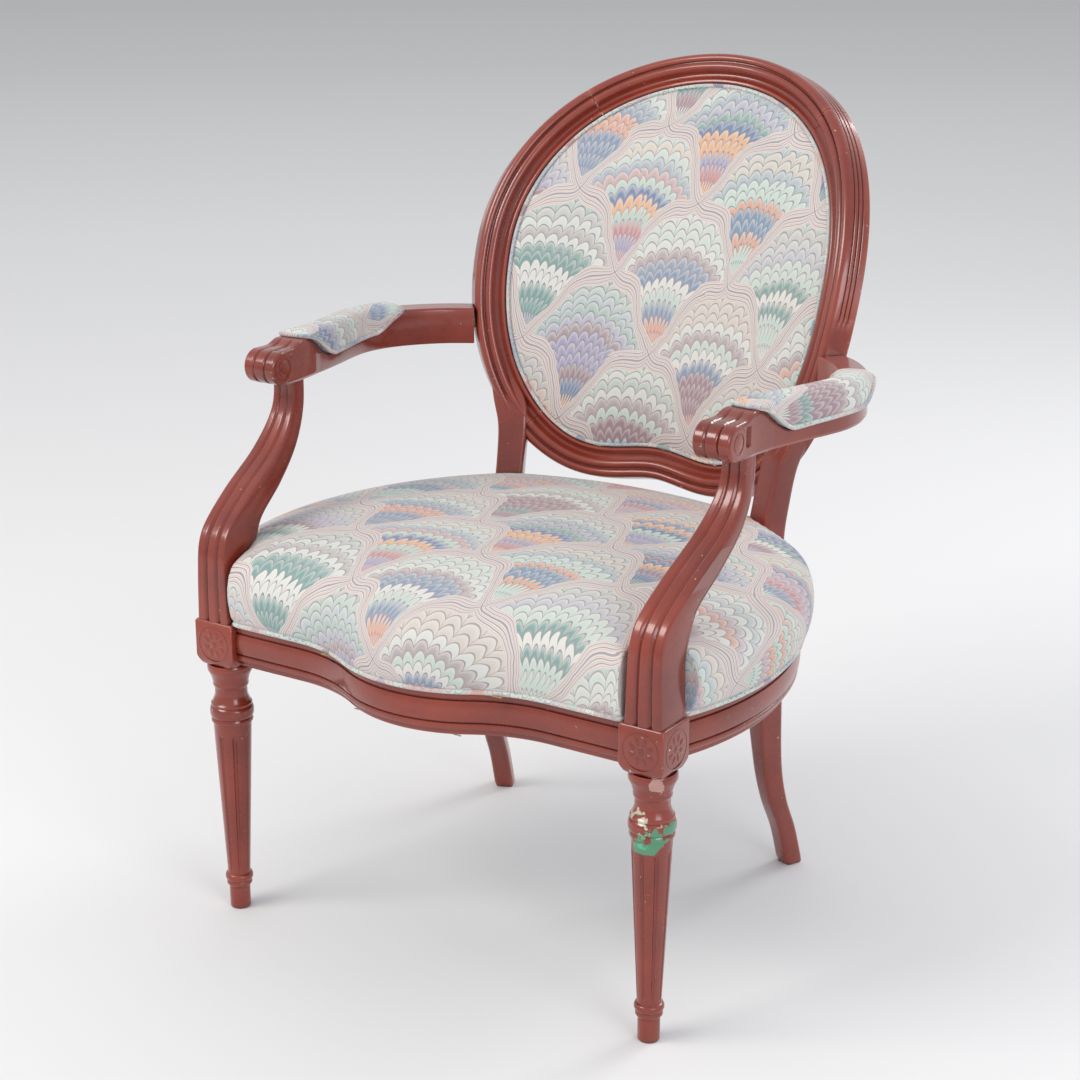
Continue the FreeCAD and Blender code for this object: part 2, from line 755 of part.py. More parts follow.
def corner_blocks_and_screws():
    """Four glued blocks in the corners of the seat frame, each screwed to its two rails."""
    leg = float(d.corner_block_leg)
    frame_corner = float(half_spacing - half_block)
    side_start = on_side_arc(side_inner_radius, side_angle(half_block))
    side_end = on_side_arc(side_inner_radius, side_angle(half_block + leg))
    front_outline = [
        Vector(frame_corner - leg, rail_inner_y, 0),
        Vector(frame_corner, rail_inner_y, 0),
        Vector(frame_corner, half_block, 0),
        side_start,
        side_end,
    ]
    along = post_outward * float(d.rear_post_width / 2)
    across = post_backward * float(d.rear_post_depth / 2)
    rear_outline = [
        on_side_arc(side_inner_radius, rail_end_angle - leg / side_inner_radius),
        rail_end(side_inner_radius),
        post_centre + along - across * 1.02,
        post_centre - along - across * 1.02,
        on_rear_arc(rear_inner_radius, rear_half - d.rear_rail_thickness / 4),
        on_rear_arc(rear_inner_radius, rear_half - leg),
    ]
    front_start = Vector(front_screw_x, rail_inner_y, 0)
    screws = {
        "front": [(front_start, Vector(0, -1, 0)), side_screws[0][1:]],
        "rear": [side_screws[1][1:],
                 (on_rear_arc(rear_inner_radius, rear_screw_x), rear_way(rear_screw_x))],
    }
    lift = Vector(0, 0, screw_z)
    solids = []
    for end, outline in (("front", front_outline), ("rear", rear_outline)):
        low = Vector(0, 0, screw_z - d.corner_block_height / 2)
        face = Part.Face(Part.makePolygon([point + low for point in outline + outline[:1]]))
        block = face.extrude(Vector(0, 0, d.corner_block_height))
        for start, way in screws[end]:
            start = start + lift
            head_back = start - way * float(d.screw_wall)
            hole = rod(head_back, way, [(0, d.screw_radius + slack),
                                        (d.screw_wall, d.screw_radius + slack)])
            sink = rod(head_back, way, [(-leg, d.screw_radius * 2 + slack),
                                        (0, d.screw_radius * 2 + slack)])
            block = block.cut(hole).cut(sink)
            screw = screw_solid(start, way)
            solids += [screw, screw.mirror(Vector(), Vector(1, 0, 0))]
        keep_pair(block, f"corner_block_{end}")
    keep_shape(Part.makeCompound(solids), "corner_block_screws")


# The back's own frame: its axis is that of the raked cylinder the back is bent on.
rake = math.radians(d.back_rake)
back_axis = Vector(0, d.back_centre_y - d.back_curve_radius * math.cos(rake),
                   d.back_centre_z + d.back_curve_radius * math.sin(rake))
back_place = Placement(back_axis, Rotation(Vector(1, 0, 0), -float(d.back_rake)))


def on_back(across, height, depth):
    """A point of the bent back: across and height run on its front face, depth goes away from
    the sitter."""
    turn = across / d.back_curve_radius
    reach = d.back_curve_radius + depth
    local = Vector(reach * math.sin(turn), reach * math.cos(turn), height)
    return back_place.multVec(local)


def oval_edge(angle, inset=0.0):
    """Inner edge of the oval's face, as (across, height), at an angle from the sitter's left."""
    across, rise = math.cos(angle), math.sin(angle)
    power = 1.03 if rise > 0 else 0.89
    reach = d.oval_up if rise > 0 else d.oval_down
    x = (d.oval_half_width - inset) * math.copysign(abs(across) ** power, across)
    v = (reach - inset) * math.copysign(abs(rise) ** power, rise)
    if rise < 0:
        v += d.oval_wave * math.exp(-((x / d.oval_wave_spread) ** 2))
    return x, v


def oval_frame(angle):
    """Place and directions of the oval's cross section: middle of the face, outward, backward."""
    step = 0.01
    x0, v0 = oval_edge(angle - step)
    x1, v1 = oval_edge(angle + step)
    length = math.hypot(x1 - x0, v1 - v0)
    nx, nv = (v1 - v0) / length, (x0 - x1) / length
    x, v = oval_edge(angle)
    x += nx * d.oval_face / 2
    v += nv * d.oval_face / 2
    middle = on_back(x, v, 0)
    backward = (on_back(x, v, 1) - middle).normalize()
    sideways = (on_back(x + 1, v, 0) - middle).normalize()
    upward = (on_back(x, v + 1, 0) - middle).normalize()
    outward = (sideways * nx + upward * nv).normalize()
    return middle, outward, backward


def on_oval(angle, from_inside, depth):
    """A point of the oval's cross section, from its inner edge and its front face."""
    middle, outward, backward = oval_frame(angle)
    return middle + outward * float(from_inside - d.oval_face / 2) + backward * float(depth)


def oval_profile():
    """Section of the oval from the inside out: bead, deep cove, torus, groove and outer roll,
    then the plain outer side and back, and the rebated tongue that carries the upholstery."""
    step = d.moulding_step
    face = d.oval_face
    depth = d.oval_depth
    return [
        (-d.ledge_width, d.front_rabbet),
        (0, d.front_rabbet),
        (0, step * 6),
        (step * 4, step * 2.5),
        (step * 11, step * 8.5),
        (step * 16.5, step * 3.5),
        (step * 21.5, 0),
        (step * 27.5, step * 4),
        (step * 32.5, step * 1.2),
        (face, step * 7),
        (face, depth),
        (0, depth),
        (0, depth - d.rear_rabbet),
        (-d.ledge_width, depth - d.rear_rabbet),
    ]


def oval_member(start, end, steps):
    """One member of the oval between two angles, lofted through its moulded section."""
    sections = []
    for index in range(steps + 1):
        angle = mix(start, end, index / steps)
        sections.append([on_oval(angle, u, w) for u, w in oval_profile()])
    return faceted(sections)


CREST_END = math.radians(50)
BOTTOM_END = math.radians(-50)


def joint_dowel(angle, side, grow=0.0):
    """A dowel across one joint of the oval, and the hole it sits in when grown."""
    centre = on_oval(angle, d.oval_face / 2 + side * d.dowel_radius * 2, d.oval_depth * 0.58)
    ahead = on_oval(angle + 0.01, d.oval_face / 2, d.oval_depth * 0.58)
    behind = on_oval(angle - 0.01, d.oval_face / 2, d.oval_depth * 0.58)
    way = (ahead - behind).normalize()
    length = d.dowel_length + grow * 2
    radius = d.dowel_radius + grow
    return rod(centre, way, [(-length / 2, radius), (length / 2, radius)])


def left_joint_dowels(grow=0.0):
    return [joint_dowel(angle, side, grow) for angle in (CREST_END, BOTTOM_END)
            for side in (-1, 1)]


def mirrored(shape):
    return shape.mirror(Vector(), Vector(1, 0, 0))


def oval_rails():
    """Crest rail and bottom rail of the oval, bored for the dowels at both ends."""
    holes = left_joint_dowels(slack)
    holes += [mirrored(hole) for hole in holes]
    crest = oval_member(CREST_END, math.pi - CREST_END, 12)
    bottom = oval_member(math.pi - BOTTOM_END, 2 * math.pi + BOTTOM_END, 14)
    keep_shape(crest.cut(holes), "back_crest_rail")
    keep_shape(bottom.cut(holes), "back_bottom_rail")
    dowels = left_joint_dowels()
    keep_shape(Part.makeCompound(dowels + [mirrored(dowel) for dowel in dowels]),
               "back_frame_dowels")
    return bottom


def eased_rows(rows, count):
    """The rows of a table read at even steps of the first column, eased from row to row."""
    read = []
    for index in range(count + 1):
        spot = mix(rows[0][0], rows[-1][0], index / count)
        at = max(i for i in range(len(rows) - 1) if rows[i][0] <= spot + 1e-9)
        before, here, there = rows[max(at - 1, 0)], rows[at], rows[at + 1]
        after = rows[min(at + 2, len(rows) - 1)]
        gap = there[0] - here[0]
        share = (spot - here[0]) / gap
        row = [spot]
        for column in range(1, len(here)):
            slope = gap * (there[column] - before[column]) / (there[0] - before[0])
            end_slope = gap * (after[column] - here[column]) / (after[0] - here[0])
            rise = there[column] - here[column]
            row.append(here[column] + slope * share
                       + (3 * rise - 2 * slope - end_slope) * share ** 2
                       + (slope + end_slope - 2 * rise) * share ** 3)
        read.append(row)
    return read


def turned_section(centre, width, depth, turn, arris):
    """A chamfered rectangle, level, its faces turned towards the middle of the seat."""
    outward = Vector(math.cos(turn), -math.sin(turn), 0)
    backward = Vector(math.sin(turn), math.cos(turn), 0)
    w, h = float(width) / 2, float(depth) / 2
    cut = float(arris)
    corners = [(-w, -h + cut), (-w + cut, -h), (w - cut, -h), (w, -h + cut),
               (w, h - cut), (w - cut, h), (-w + cut, h), (-w, h - cut)]
    return [centre + outward * a + backward * b for a, b in corners]


# Where the arm meets the outer side of the oval, and where the post runs up into the oval.
ARM_ANGLE = math.radians(-19.5)
POST_ANGLE = math.radians(-32)
arm_seat = on_oval(ARM_ANGLE, d.oval_face, d.oval_depth / 2)
post_tip = on_oval(POST_ANGLE, d.oval_face / 2, d.oval_depth * 0.6)


def back_upright(bottom_rail, rails):
    """Swept leg, post and side of the oval, cut from one plank, with its mortises."""
    foot = Vector(d.rear_foot_x, d.rear_foot_y, 0)
    slim = d.rear_foot_width
    # Share of the height up to the rail, of the way inward, of the way forward, of the thickening.
    leg_shares = [(0.0, 0.0, 0.0, 0.0), (0.144, 0.107, 0.425, 0.0), (0.267, 0.25, 0.925, 0.1),
                  (0.4, 0.43, 1.15, 0.28), (0.654, 0.75, 1.1, 0.9), (0.87, 0.93, 1.02, 1.0),
                  (1.0, 1.0, 1.0, 1.0)]
    sections = []
    for rise, inward, forward, thick in eased_rows(leg_shares, 14):
        centre = Vector(mix(foot.x, post_centre.x, inward), mix(foot.y, post_centre.y, forward),
                        d.rail_top * rise)
        width = mix(slim, d.rear_post_width, thick)
        depth = mix(slim, d.rear_post_depth, thick)
        sections.append(turned_section(centre, width, depth, post_turn, d.block_arris * 2))
    # Share of the height from the rail to the tip in the oval, sideways, backwards, of the
    # spreading towards the oval and of the thinning.
    rail_level = Vector(post_centre.x, post_centre.y, d.rail_top)
    post_shares = [(0.306, -0.09, 0.16, 0.0, 0.0), (0.5, -0.036, 0.41, 0.0, 0.1),
                   (0.69, 0.08, 0.68, 0.3, 0.3), (0.833, 0.39, 0.85, 0.7, 0.6),
                   (1.0, 1.0, 1.0, -0.9, 1.0)]
    post_shares.insert(0, (0.0, 0.0, 0.0, 0.0, 0.0))
    for rise, sideways, backward, spread, thin in eased_rows(post_shares, 12)[1:]:
        centre = Vector(mix(rail_level.x, post_tip.x, sideways),
                        mix(rail_level.y, post_tip.y, backward),
                        mix(rail_level.z, post_tip.z, rise))
        width = d.rear_post_width * (1 + spread * 0.25)
        depth = d.rear_post_depth * (1 - thin * 0.32)
        turn = post_turn + thin * 0.12
        sections.append(turned_section(centre, width, depth, turn, d.block_arris * 2))
    post = faceted(sections)
    stile = oval_member(BOTTOM_END, CREST_END, 12)
    # The post stays out of the rebates and the hollow of the moulding.
    upright = stile.fuse(post.cut([back_opening(), bottom_rail]))
    tools = [post_tenon(True, slack), post_tenon(False, slack), arm_dowel(slack)]
    return upright.cut(tools + left_joint_dowels(slack) + rails)


def back_opening():
    """The room inside the oval and in front of its moulded face, which the post keeps clear."""
    sections = []
    for index in range(9):
        angle = mix(math.radians(-75), math.radians(-5), index / 8)
        corners = [on_oval(angle, -d.oval_half_width / 3, -d.oval_depth),
                   on_oval(angle, d.oval_face, -d.oval_depth),
                   on_oval(angle, d.oval_face, d.moulding_step * 8),
                   on_oval(angle, 0, d.front_rabbet),
                   on_oval(angle, 0, d.oval_depth * 2),
                   on_oval(angle, -d.oval_half_width / 3, d.oval_depth * 2)]
        sections.append(corners)
    return faceted(sections)


# Arms: their line in plan runs from the hand, bows out and turns in to the side of the oval.
middle_of_end, outward_of_end, backward_of_end = oval_frame(ARM_ANGLE)
arm_way_in = Vector(-outward_of_end.x, -outward_of_end.y, 0).normalize()


def arm_curve():
    inside = arm_seat + arm_way_in * float(d.oval_face / 2)
    bend = arm_seat - arm_way_in * float(d.arm_width * 1.7)
    points = [
        Vector(d.hand_x, d.hand_y, 0),
        Vector(mix(d.hand_x, d.arm_bow_x, 0.12), mix(d.hand_y, d.arm_bow_y, 0.27), 0),
        Vector(mix(d.hand_x, d.arm_bow_x, 0.68), mix(d.hand_y, d.arm_bow_y, 0.7), 0),
        Vector(d.arm_bow_x, d.arm_bow_y, 0),
        Vector(bend.x, bend.y, 0),
        Vector(inside.x, inside.y, 0),
    ]
    curve = Part.BSplineCurve()
    curve.interpolate(points)
    return curve


arm_line = arm_curve()


def arm_station(share):
    """A point of the arm's line, the direction across it, and the wood's bottom and top."""
    spot = mix(arm_line.FirstParameter, arm_line.LastParameter, share)
    point = arm_line.value(spot)
    ahead = arm_line.tangent(spot)[0]
    across = Vector(ahead.y, -ahead.x, 0).normalize()
    bottom = mix(float(d.hand_z - d.hand_radius - 2), float(arm_seat.z - d.arm_height / 2), share)
    top = bottom + float(d.arm_height) + (1 - share) * float(d.moulding_step) * 3
    return point, across, bottom, top


def arm_share(y):
    """How far along the arm's line a place behind the hand lies, found by halving."""
    low, high = 0.0, 1.0
    for _ in range(30):
        middle = (low + high) / 2
        if arm_line.value(mix(arm_line.FirstParameter, arm_line.LastParameter, middle)).y < y:
            low = middle
        else:
            high = middle
    return low


def arm_sections(shares, section):
    wires = []
    for share in shares:
        point, across, bottom, top = arm_station(share)
        wires.append(section(share, point, across, bottom, top))
    return wires


def wood_section(share, point, across, bottom, top):
    width = mix(float(d.hand_width) * 0.93, float(d.arm_width), min(1, share * 4)) / 2
    edge = float(d.moulding_step) * 3
    corners = [(-width + edge, bottom), (width - edge, bottom), (width, bottom + edge),
               (width, top - edge), (width - edge, top), (-width + edge, top),
               (-width, top - edge), (-width, bottom + edge)]
    return [point + across * a + Vector(0, 0, z) for a, z in corners]


pad_start = d.arm_pad_front
pad_end = d.arm_pad_front + d.arm_pad_length


def pad_bed(lift=0.0, height=300.0):
    """Everything above the line, seen from the side, on which the arm pad is laid."""
    bed = d.hand_z - d.hand_radius + d.arm_height * 0.31
    top = d.hand_z + d.arm_height * 0.62
    length = float(d.arm_pad_length)
    line = [(-2, top), (length * 0.27, bed), (length * 0.74, bed), (length * 1.01, top)]
    start = float(pad_start)
    low = [Vector(0, start + y, z + lift) for y, z in line]
    high = [point + Vector(0, 0, height) for point in reversed(low)]
    face = Part.Face(polygon(low + high))
    return face.extrude(Vector(d.arm_bow_x * 2, 0, 0))


def scroll():
    """The hand: a short roll across the arm's end, divided into three lobes."""
    half = d.hand_width / 2
    r = d.hand_radius
    step = d.moulding_step
    groove = half * 0.36
    lobes = [(-half, r - step * 2.5), (-half + step * 2.5, r - step * 0.3),
             (-groove - step * 2.5, r), (-groove, r - step * 2.6),
             (-groove + step * 2.5, r)]
    lobes += [(-x, radius) for x, radius in reversed(lobes)]
    centre = Vector(d.hand_x, d.hand_y, d.hand_z)
    return rod(centre, Vector(1, 0, 0), lobes, 20)


def arm_dowel(grow=0.0):
    length = d.dowel_length + grow * 2
    radius = d.dowel_radius + grow
    return rod(arm_seat, arm_way_in, [(-length / 2, radius), (length / 2, radius)])


support_foot = Vector(half_spacing + d.moulding_step, 0, block_top)
support_head = Vector(d.hand_x + 3, d.hand_y + d.hand_radius * 2, 0)


def support_dowels(grow=0.0):
    """Upright dowels from the leg block into the support and from the support into the arm."""
    radius = d.dowel_radius + grow
    length = d.dowel_length + grow * 2
    head_share = arm_share(support_head.y)
    head_z = arm_station(head_share)[2]
    low = Vector(half_spacing, 0, block_top - length / 2)
    high = Vector(support_head.x, support_head.y, head_z - length * 0.6)
    up = Vector(0, 0, 1)
    return [rod(low, up, [(0, radius), (length, radius)]),
            rod(high, up, [(0, radius), (length, radius)])]


def arm_wood():
    first = arm_share(d.hand_y + d.hand_radius * 0.3)
    shares = [mix(first, 1.0, index / 15) for index in range(16)]
    beam = faceted(arm_sections(shares, wood_section))
    solid = beam.fuse(scroll()).cut([pad_bed()])
    return solid.cut([back_upright_shape] + support_dowels(slack)[1:] + [arm_dowel(slack)])


def support_loft(grow=0.0):
    """The support's body, or the room it takes up in the upholstery when grown."""
    head_z = arm_station(arm_share(support_head.y))[2]
    # Share of the height, of the way back, of the narrowing, and of the thinning front to back.
    shares = [(0.0, 0.0, 0.0, 0.0), (0.244, 0.007, 0.2, -0.02), (0.364, 0.058, 0.26, -0.24),
              (0.444, 0.144, 0.27, -0.19), (0.564, 0.43, 0.24, -0.1), (0.704, 0.76, 0.33, 0.67),
              (0.864, 0.965, 0.74, 1.05), (1.05, 1.0, 1.0, 1.0)]
    sections = []
    for rise, back, narrow, thin in eased_rows(shares, 18):
        centre = Vector(mix(support_foot.x, support_head.x, back),
                        mix(support_foot.y, support_head.y, back),
                        mix(float(block_top), head_z, rise))
        w = mix(d.support_base_width, d.support_top_width, narrow) / 2 + grow
        h = mix(d.support_base_depth, d.support_top_depth, thin) / 2 + grow
        step = float(d.moulding_step) * (1 - narrow * 0.35)
        front = [(w, -h + step * 1.5), (w - step * 1.5, -h), (w - step * 5, -h),
                 (w - step * 7, -h + step * 2.5), (w - step * 9, -h)]
        corners = [(w, h)] + front + [(-a, b) for a, b in reversed(front)] + [(-w, h)]
        sections.append([centre + Vector(a, b, 0) for a, b in corners])
    return faceted(sections)


def arm_support():
    """S-curved support: stands on the leg block, leans back and narrows towards the arm."""
    return support_loft().cut([arm_wood_shape] + support_dowels(slack))


# Arm pads
PAD_SHARES = [0.0, 0.05, 0.15, 0.28, 0.5, 0.72, 0.86, 0.95, 1.0]


def arm_pad_loft(grow):
    """The stuffed pad, crowned along and across, with sides that swell over the wood."""
    wires = []
    for along in PAD_SHARES:
        y = mix(float(pad_start) - grow, float(pad_end) + grow, along)
        point, across, bottom, top = arm_station(arm_share(y))
        crown = float(d.moulding_step) * 8 * (1 - (2 * along - 1) ** 4)
        width = float(d.arm_width) / 2 + grow
        upper = top + crown + grow
        lower = bottom + float(d.arm_height) * 0.1
        shoulder = upper - float(d.arm_pad_height) * 0.3
        swell = width + float(d.arm_pad_overhang)
        half = [(width, lower), (swell, mix(lower, shoulder, 0.6)), (width, shoulder),
                (width * 0.7, mix(shoulder, upper, 0.62)), (width * 0.3, upper)]
        half += [(-a, z) for a, z in reversed(half)]
        wires.append([point + across * a + Vector(0, 0, z) for a, z in half])
    return faceted(wires)


def arm_upholstery():
    """Pad, cloth cover and piping of one arm."""
    gap = float(d.cloth_clearance)
    cloth = float(d.cloth_thickness)
    welt = float(d.welt_size) * 0.75
    bed = pad_bed(gap)
    pad_shape = arm_pad_loft(0.0)
    inner = arm_pad_loft(gap)
    outer = arm_pad_loft(gap + cloth)
    keep_pair(pad_shape.common(bed), "arm_pad")
    keep_pair(outer.common(bed).cut(inner.common(bed)), "arm_pad_cover")
    strip = pad_bed(gap, welt)
    band = arm_pad_loft(gap * 2 + cloth + welt).common(strip)
    room = arm_pad_loft(gap * 2 + cloth).common(pad_bed(gap - welt, welt * 3))
    keep_pair(band.cut(room), "arm_pad_welt")


# Seat upholstery
seat_middle = Vector(0, mix(float(rail_face_y), float(post_centre.y), 0.5), 0)


def seat_outline(factor, z, inset=0.0):
    """The seat's plan along the outer line of the rails, scaled about the seat's middle."""
    flat = float(rail_face_y)
    half = float(d.front_bow_half_width)
    bow = float(d.front_bow)
    radius = (half * half + bow * bow) / (4 * bow)
    swing = math.asin(half / 2 / radius)
    corner = float(half_spacing - half_block)
    rear = rail_end(side_radius)
    rear_middle = Vector(0, rear_eye_y + rear_inner_radius + d.rear_rail_thickness, 0)
    widest = on_side_arc(side_radius, 0.12)
    side_start = Vector(rail_face_x, half_block, 0)

    def point(x, y):
        return Vector(x, y, 0)

    def on_bow(side, angle):
        return point(side * half + radius * math.sin(angle),
                     flat - radius + radius * math.cos(angle))

    def flipped(spot):
        return point(-spot.x, spot.y)

    right_s = [point(half, flat), on_bow(1, -swing / 2), on_bow(1, -swing)]
    centre_front = point(0, flat - bow)
    rounds = [
        [point(corner, flat), right_s[0]],
        right_s,
        [right_s[2], centre_front, flipped(right_s[2])],
        [flipped(right_s[2]), flipped(right_s[1]), flipped(right_s[0])],
        [flipped(right_s[0]), point(-corner, flat)],
        [point(-corner, flat), flipped(side_start)],
        [flipped(side_start), flipped(widest), flipped(rear)],
        [flipped(rear), rear_middle, rear],
        [rear, widest, side_start],
        [side_start, point(corner, flat)],
    ]
    half_width = float(d.side_widest)
    shrink = factor - inset / half_width

    def moved(spot):
        return seat_middle + (spot - seat_middle) * shrink + Vector(0, 0, z)

    outline = []
    for spots in rounds:
        if len(spots) == 2:
            outline.append(spots[0])
            continue
        arc = Part.Arc(*spots)
        parts = max(3, round(arc.length() / 75))
        outline += [arc.value(mix(arc.FirstParameter, arc.LastParameter, part / parts))
                    for part in range(parts)]
    return [moved(spot) for spot in outline]


def seat_dome(inset):
    """Stuffed seat: walls that come out over the rails and turn in to a low crowned top."""
    rise = float(d.seat_crown - d.rail_top)
    bulge = float(d.seat_bulge) / float(d.side_widest)
    # Share of the rise, and how far the wall stands out from the rails in bulges.
    walls = [(0.0, -0.35), (0.06, -0.3), (0.14, 0.7), (0.33, 1.0), (0.5, 0.95), (0.62, 0.4)]
    top = [(0.74, 0.96), (0.85, 0.86), (0.93, 0.72), (0.985, 0.46), (1.0, 0.14)]
    low = float(d.rail_top + slack)
    wires = []
    for share, out in walls:
        z = low + rise * share - (abs(inset) if share == 0 else 0)
        wires.append(seat_outline(1 + bulge * out, z, inset))
    for share, factor in top:
        wires.append(seat_outline(factor, low + rise * share - inset, inset * factor))
    return faceted(wires)


def seat_notches(grow):
    """Room for the arm supports, the leg blocks and the rear posts."""
    tools = []
    reach = float(d.block_side) * 3
    for side in (1, -1):
        corner = Vector(half_spacing - half_block - grow, half_block + grow - reach, 0)
        block = Part.makeBox(reach, reach, 1000, corner).fuse(support_loft(grow))
        tools.append(block if side > 0 else mirrored(block))
        size = (d.rear_post_width + grow * 2 + reach, d.rear_post_depth + grow * 2 + reach, 1000)
        lean = d.rear_post_width * 0.16
        corner = (post_centre - post_outward * float(d.rear_post_width / 2 + grow + lean)
                  - post_backward * float(d.rear_post_depth / 2 + grow))
        post = turned_box(size, corner, post_rotation)
        tools.append(post if side > 0 else mirrored(post))
    return tools


def plate(outline, thickness):
    return Part.Face(polygon(outline)).extrude(Vector(0, 0, thickness))


def seat_upholstery():
    cloth = float(d.cloth_thickness)
    gap = float(d.cloth_clearance)
    web = float(d.web_thickness)
    top = float(d.rail_top)
    welt = float(d.welt_size)
    fit = float(slack) * 3
    wide = seat_notches(fit + cloth + gap)

    # Webbing: straps from rail to rail, four each way.
    strap_room = plate(seat_outline(1, top, d.rail_thickness * 0.45), web * 3)
    straps = []
    width = float(d.web_width)
    span = 1000.0
    for index in range(4):
        pitch = width * 1.25
        x = (index - 1.5) * pitch
        straps.append(Part.makeBox(width, span, web, Vector(x - width / 2, -span / 2 + 200, top)))
        y = seat_middle.y + x
        straps.append(Part.makeBox(span, width, web, Vector(-span / 2, y - width / 2, top + web)))
    straps = [strap.common(strap_room).cut(wide) for strap in straps]
    keep_shape(Part.makeCompound(straps), "seat_webbing")

    burlap_bottom = top + web * 2
    burlap = plate(seat_outline(1, burlap_bottom, d.rail_thickness * 0.38), d.burlap_thickness)
    keep_shape(burlap.cut(wide), "seat_burlap")

    stuffing = seat_dome(cloth + gap).cut(wide)
    stack_top = burlap_bottom + float(d.burlap_thickness) + float(slack)
    under = plate(seat_outline(1.3, top - 5), stack_top - top + 5)
    keep_shape(stuffing.cut(under), "seat_pad")
    room = seat_dome(cloth).cut(seat_notches(fit + cloth))
    keep_shape(seat_dome(0).cut(seat_notches(fit)).cut(room), "seat_cover")

    # Piping laid on the top edge of the rails, all round the foot of the cover.
    half = welt / 2
    low = top + float(slack)
    bead = [seat_outline(1, low, -half * 0.2), seat_outline(1, low + half, -half * 1.2),
            seat_outline(1, low + welt, -half * 0.2)]
    piping = faceted(bead)
    keep_shape(piping.cut(seat_dome(-gap)).cut(wide), "seat_welt")

    # Thin black cloth tacked under the rails, cut out round the legs.
    cover_top = float(rail_bottom)
    thickness = float(d.dust_cover_thickness)
    dust = plate(seat_outline(1, cover_top - thickness, d.rail_thickness * 0.5), thickness)
    keep_shape(dust.cut(wide), "seat_dust_cover")
    keep_shape(staples(cover_top - thickness, -1), "dust_cover_staples")


def staple(point, along, down):
    """A wire staple with its crown on the cloth and its legs in the wood."""
    wire = float(d.staple_wire)
    width = float(d.staple_width)
    across = Vector(-along.y, along.x, 0)
    corner = point - along * (width / 2) - across * (wire / 2)
    turn = math.degrees(math.atan2(along.y, along.x))
    low = 0 if down > 0 else -wire
    crown = turned_box((width, wire, wire), corner + Vector(0, 0, low),
                       Rotation(Vector(0, 0, 1), turn))
    return crown


def staples(z, way):
    """Staples along the four rails, a hand's breadth apart."""
    made = []
    inner = float(d.rail_thickness) * 0.6
    flat = float(rail_face_y)
    for index in range(-3, 4):
        x = index * 30.0
        front = Vector(x * 2.2, 0, z)
        radius = float(d.front_bow_half_width) ** 2 / (2 * float(d.front_bow))
        front.y = flat + inner - (float(d.front_bow) - front.x ** 2 / (2 * radius)) * (
            1 if abs(front.x) < float(d.front_bow_half_width) / 2 else 0)
        rear = on_rear_arc(rear_radius, x)
        rear.z = z
        made.append(staple(rear, Vector(1, 0, 0), way))
        if abs(front.x) < float(d.front_bow_half_width) / 2:
            made.append(staple(front, Vector(1, 0, 0), way))
    for angle in (-0.3, -0.18, -0.06, 0.06, 0.18, 0.3, 0.42, 0.54):
        spot = on_side_arc(side_radius - inner, angle)
        spot.z = z
        one = staple(spot, Vector(-math.sin(angle), math.cos(angle), 0), way)
        made += [one, mirrored(one)]
    return Part.makeCompound(made)


# Back upholstery, laid in and on the rebates of the oval
def oval_spans(inset, count):
    """Across positions over the oval with the bottom and top of the opening at each."""
    spans = []
    for index in range(count):
        turn = mix(math.radians(8), math.radians(172), index / (count - 1))
        x = (d.oval_half_width - inset) * math.cos(turn)
        upper_turn = math.acos(min(1, abs(math.cos(turn)) ** (1 / 1.03)))
        lower_turn = math.acos(min(1, abs(math.cos(turn)) ** (1 / 0.89)))
        top = (d.oval_up - inset) * math.sin(upper_turn) ** 1.03
        bottom = -(d.oval_down - inset) * math.sin(lower_turn) ** 0.89
        bottom += d.oval_wave * math.exp(-((x / d.oval_wave_spread) ** 2))
        spans.append((float(x), float(bottom), float(top)))
    return spans


def back_cushion(inset, seat_depth, edge, crown):
    """A slab on the bent back, from a depth forward: straight edge, then a domed front."""
    wires = []
    for x, bottom, top in oval_spans(inset, 15):
        fall = 1 - (x / float(d.oval_half_width)) ** 2
        swell = crown * math.sqrt(max(0.02, fall))
        front = seat_depth - edge
        peak = front - swell
        section = [on_back(x, bottom, seat_depth)]
        for share in (0.0, 0.08, 0.25, 0.5, 0.75, 0.92, 1.0):
            dome = 1 - (2 * share - 1) ** 2
            section.append(on_back(x, mix(bottom, top, share), mix(front, peak, dome)))
        section.append(on_back(x, top, seat_depth))
        wires.append(section)
    return faceted(wires)


def back_sheet(inset, depth, thickness):
    """A thin even sheet over the oval's opening, bent like the back."""
    rings = []
    for x, bottom, top in oval_spans(inset, 21):
        rings.append([on_back(x, bottom, depth), on_back(x, top, depth),
                      on_back(x, top, depth + thickness), on_back(x, bottom, depth + thickness)])
    return faceted(rings)


def back_strap(left, right, low, high):
    """Room for one strap: between two places across the back and two heights."""
    depth = float(d.oval_depth)
    corners = [on_back(x, height, depth * way) for x, height, way in (
        (left, low, -1), (right, low, -1), (right, high, -1), (left, high, -1),
        (left, low, 1), (right, low, 1), (right, high, 1), (left, high, 1))]
    return faceted([corners[:4], corners[4:]])


def oval_piping(inset, depth, size):
    """Piping round the oval: a six-sided cord in the angle between cloth and wood."""
    count = 40
    rings = []
    for index in range(count):
        angle = 2 * math.pi * index / count
        middle, outward, backward = oval_frame(angle)
        centre = on_oval(angle, -inset, depth)
        corners = []
        for side in range(6):
            turn = math.radians(60 * side + 30)
            corners.append(centre + outward * (size / 2 * math.cos(turn))
                           + backward * (size / 2 * math.sin(turn)))
        rings.append(corners)
    return faceted(rings, True)


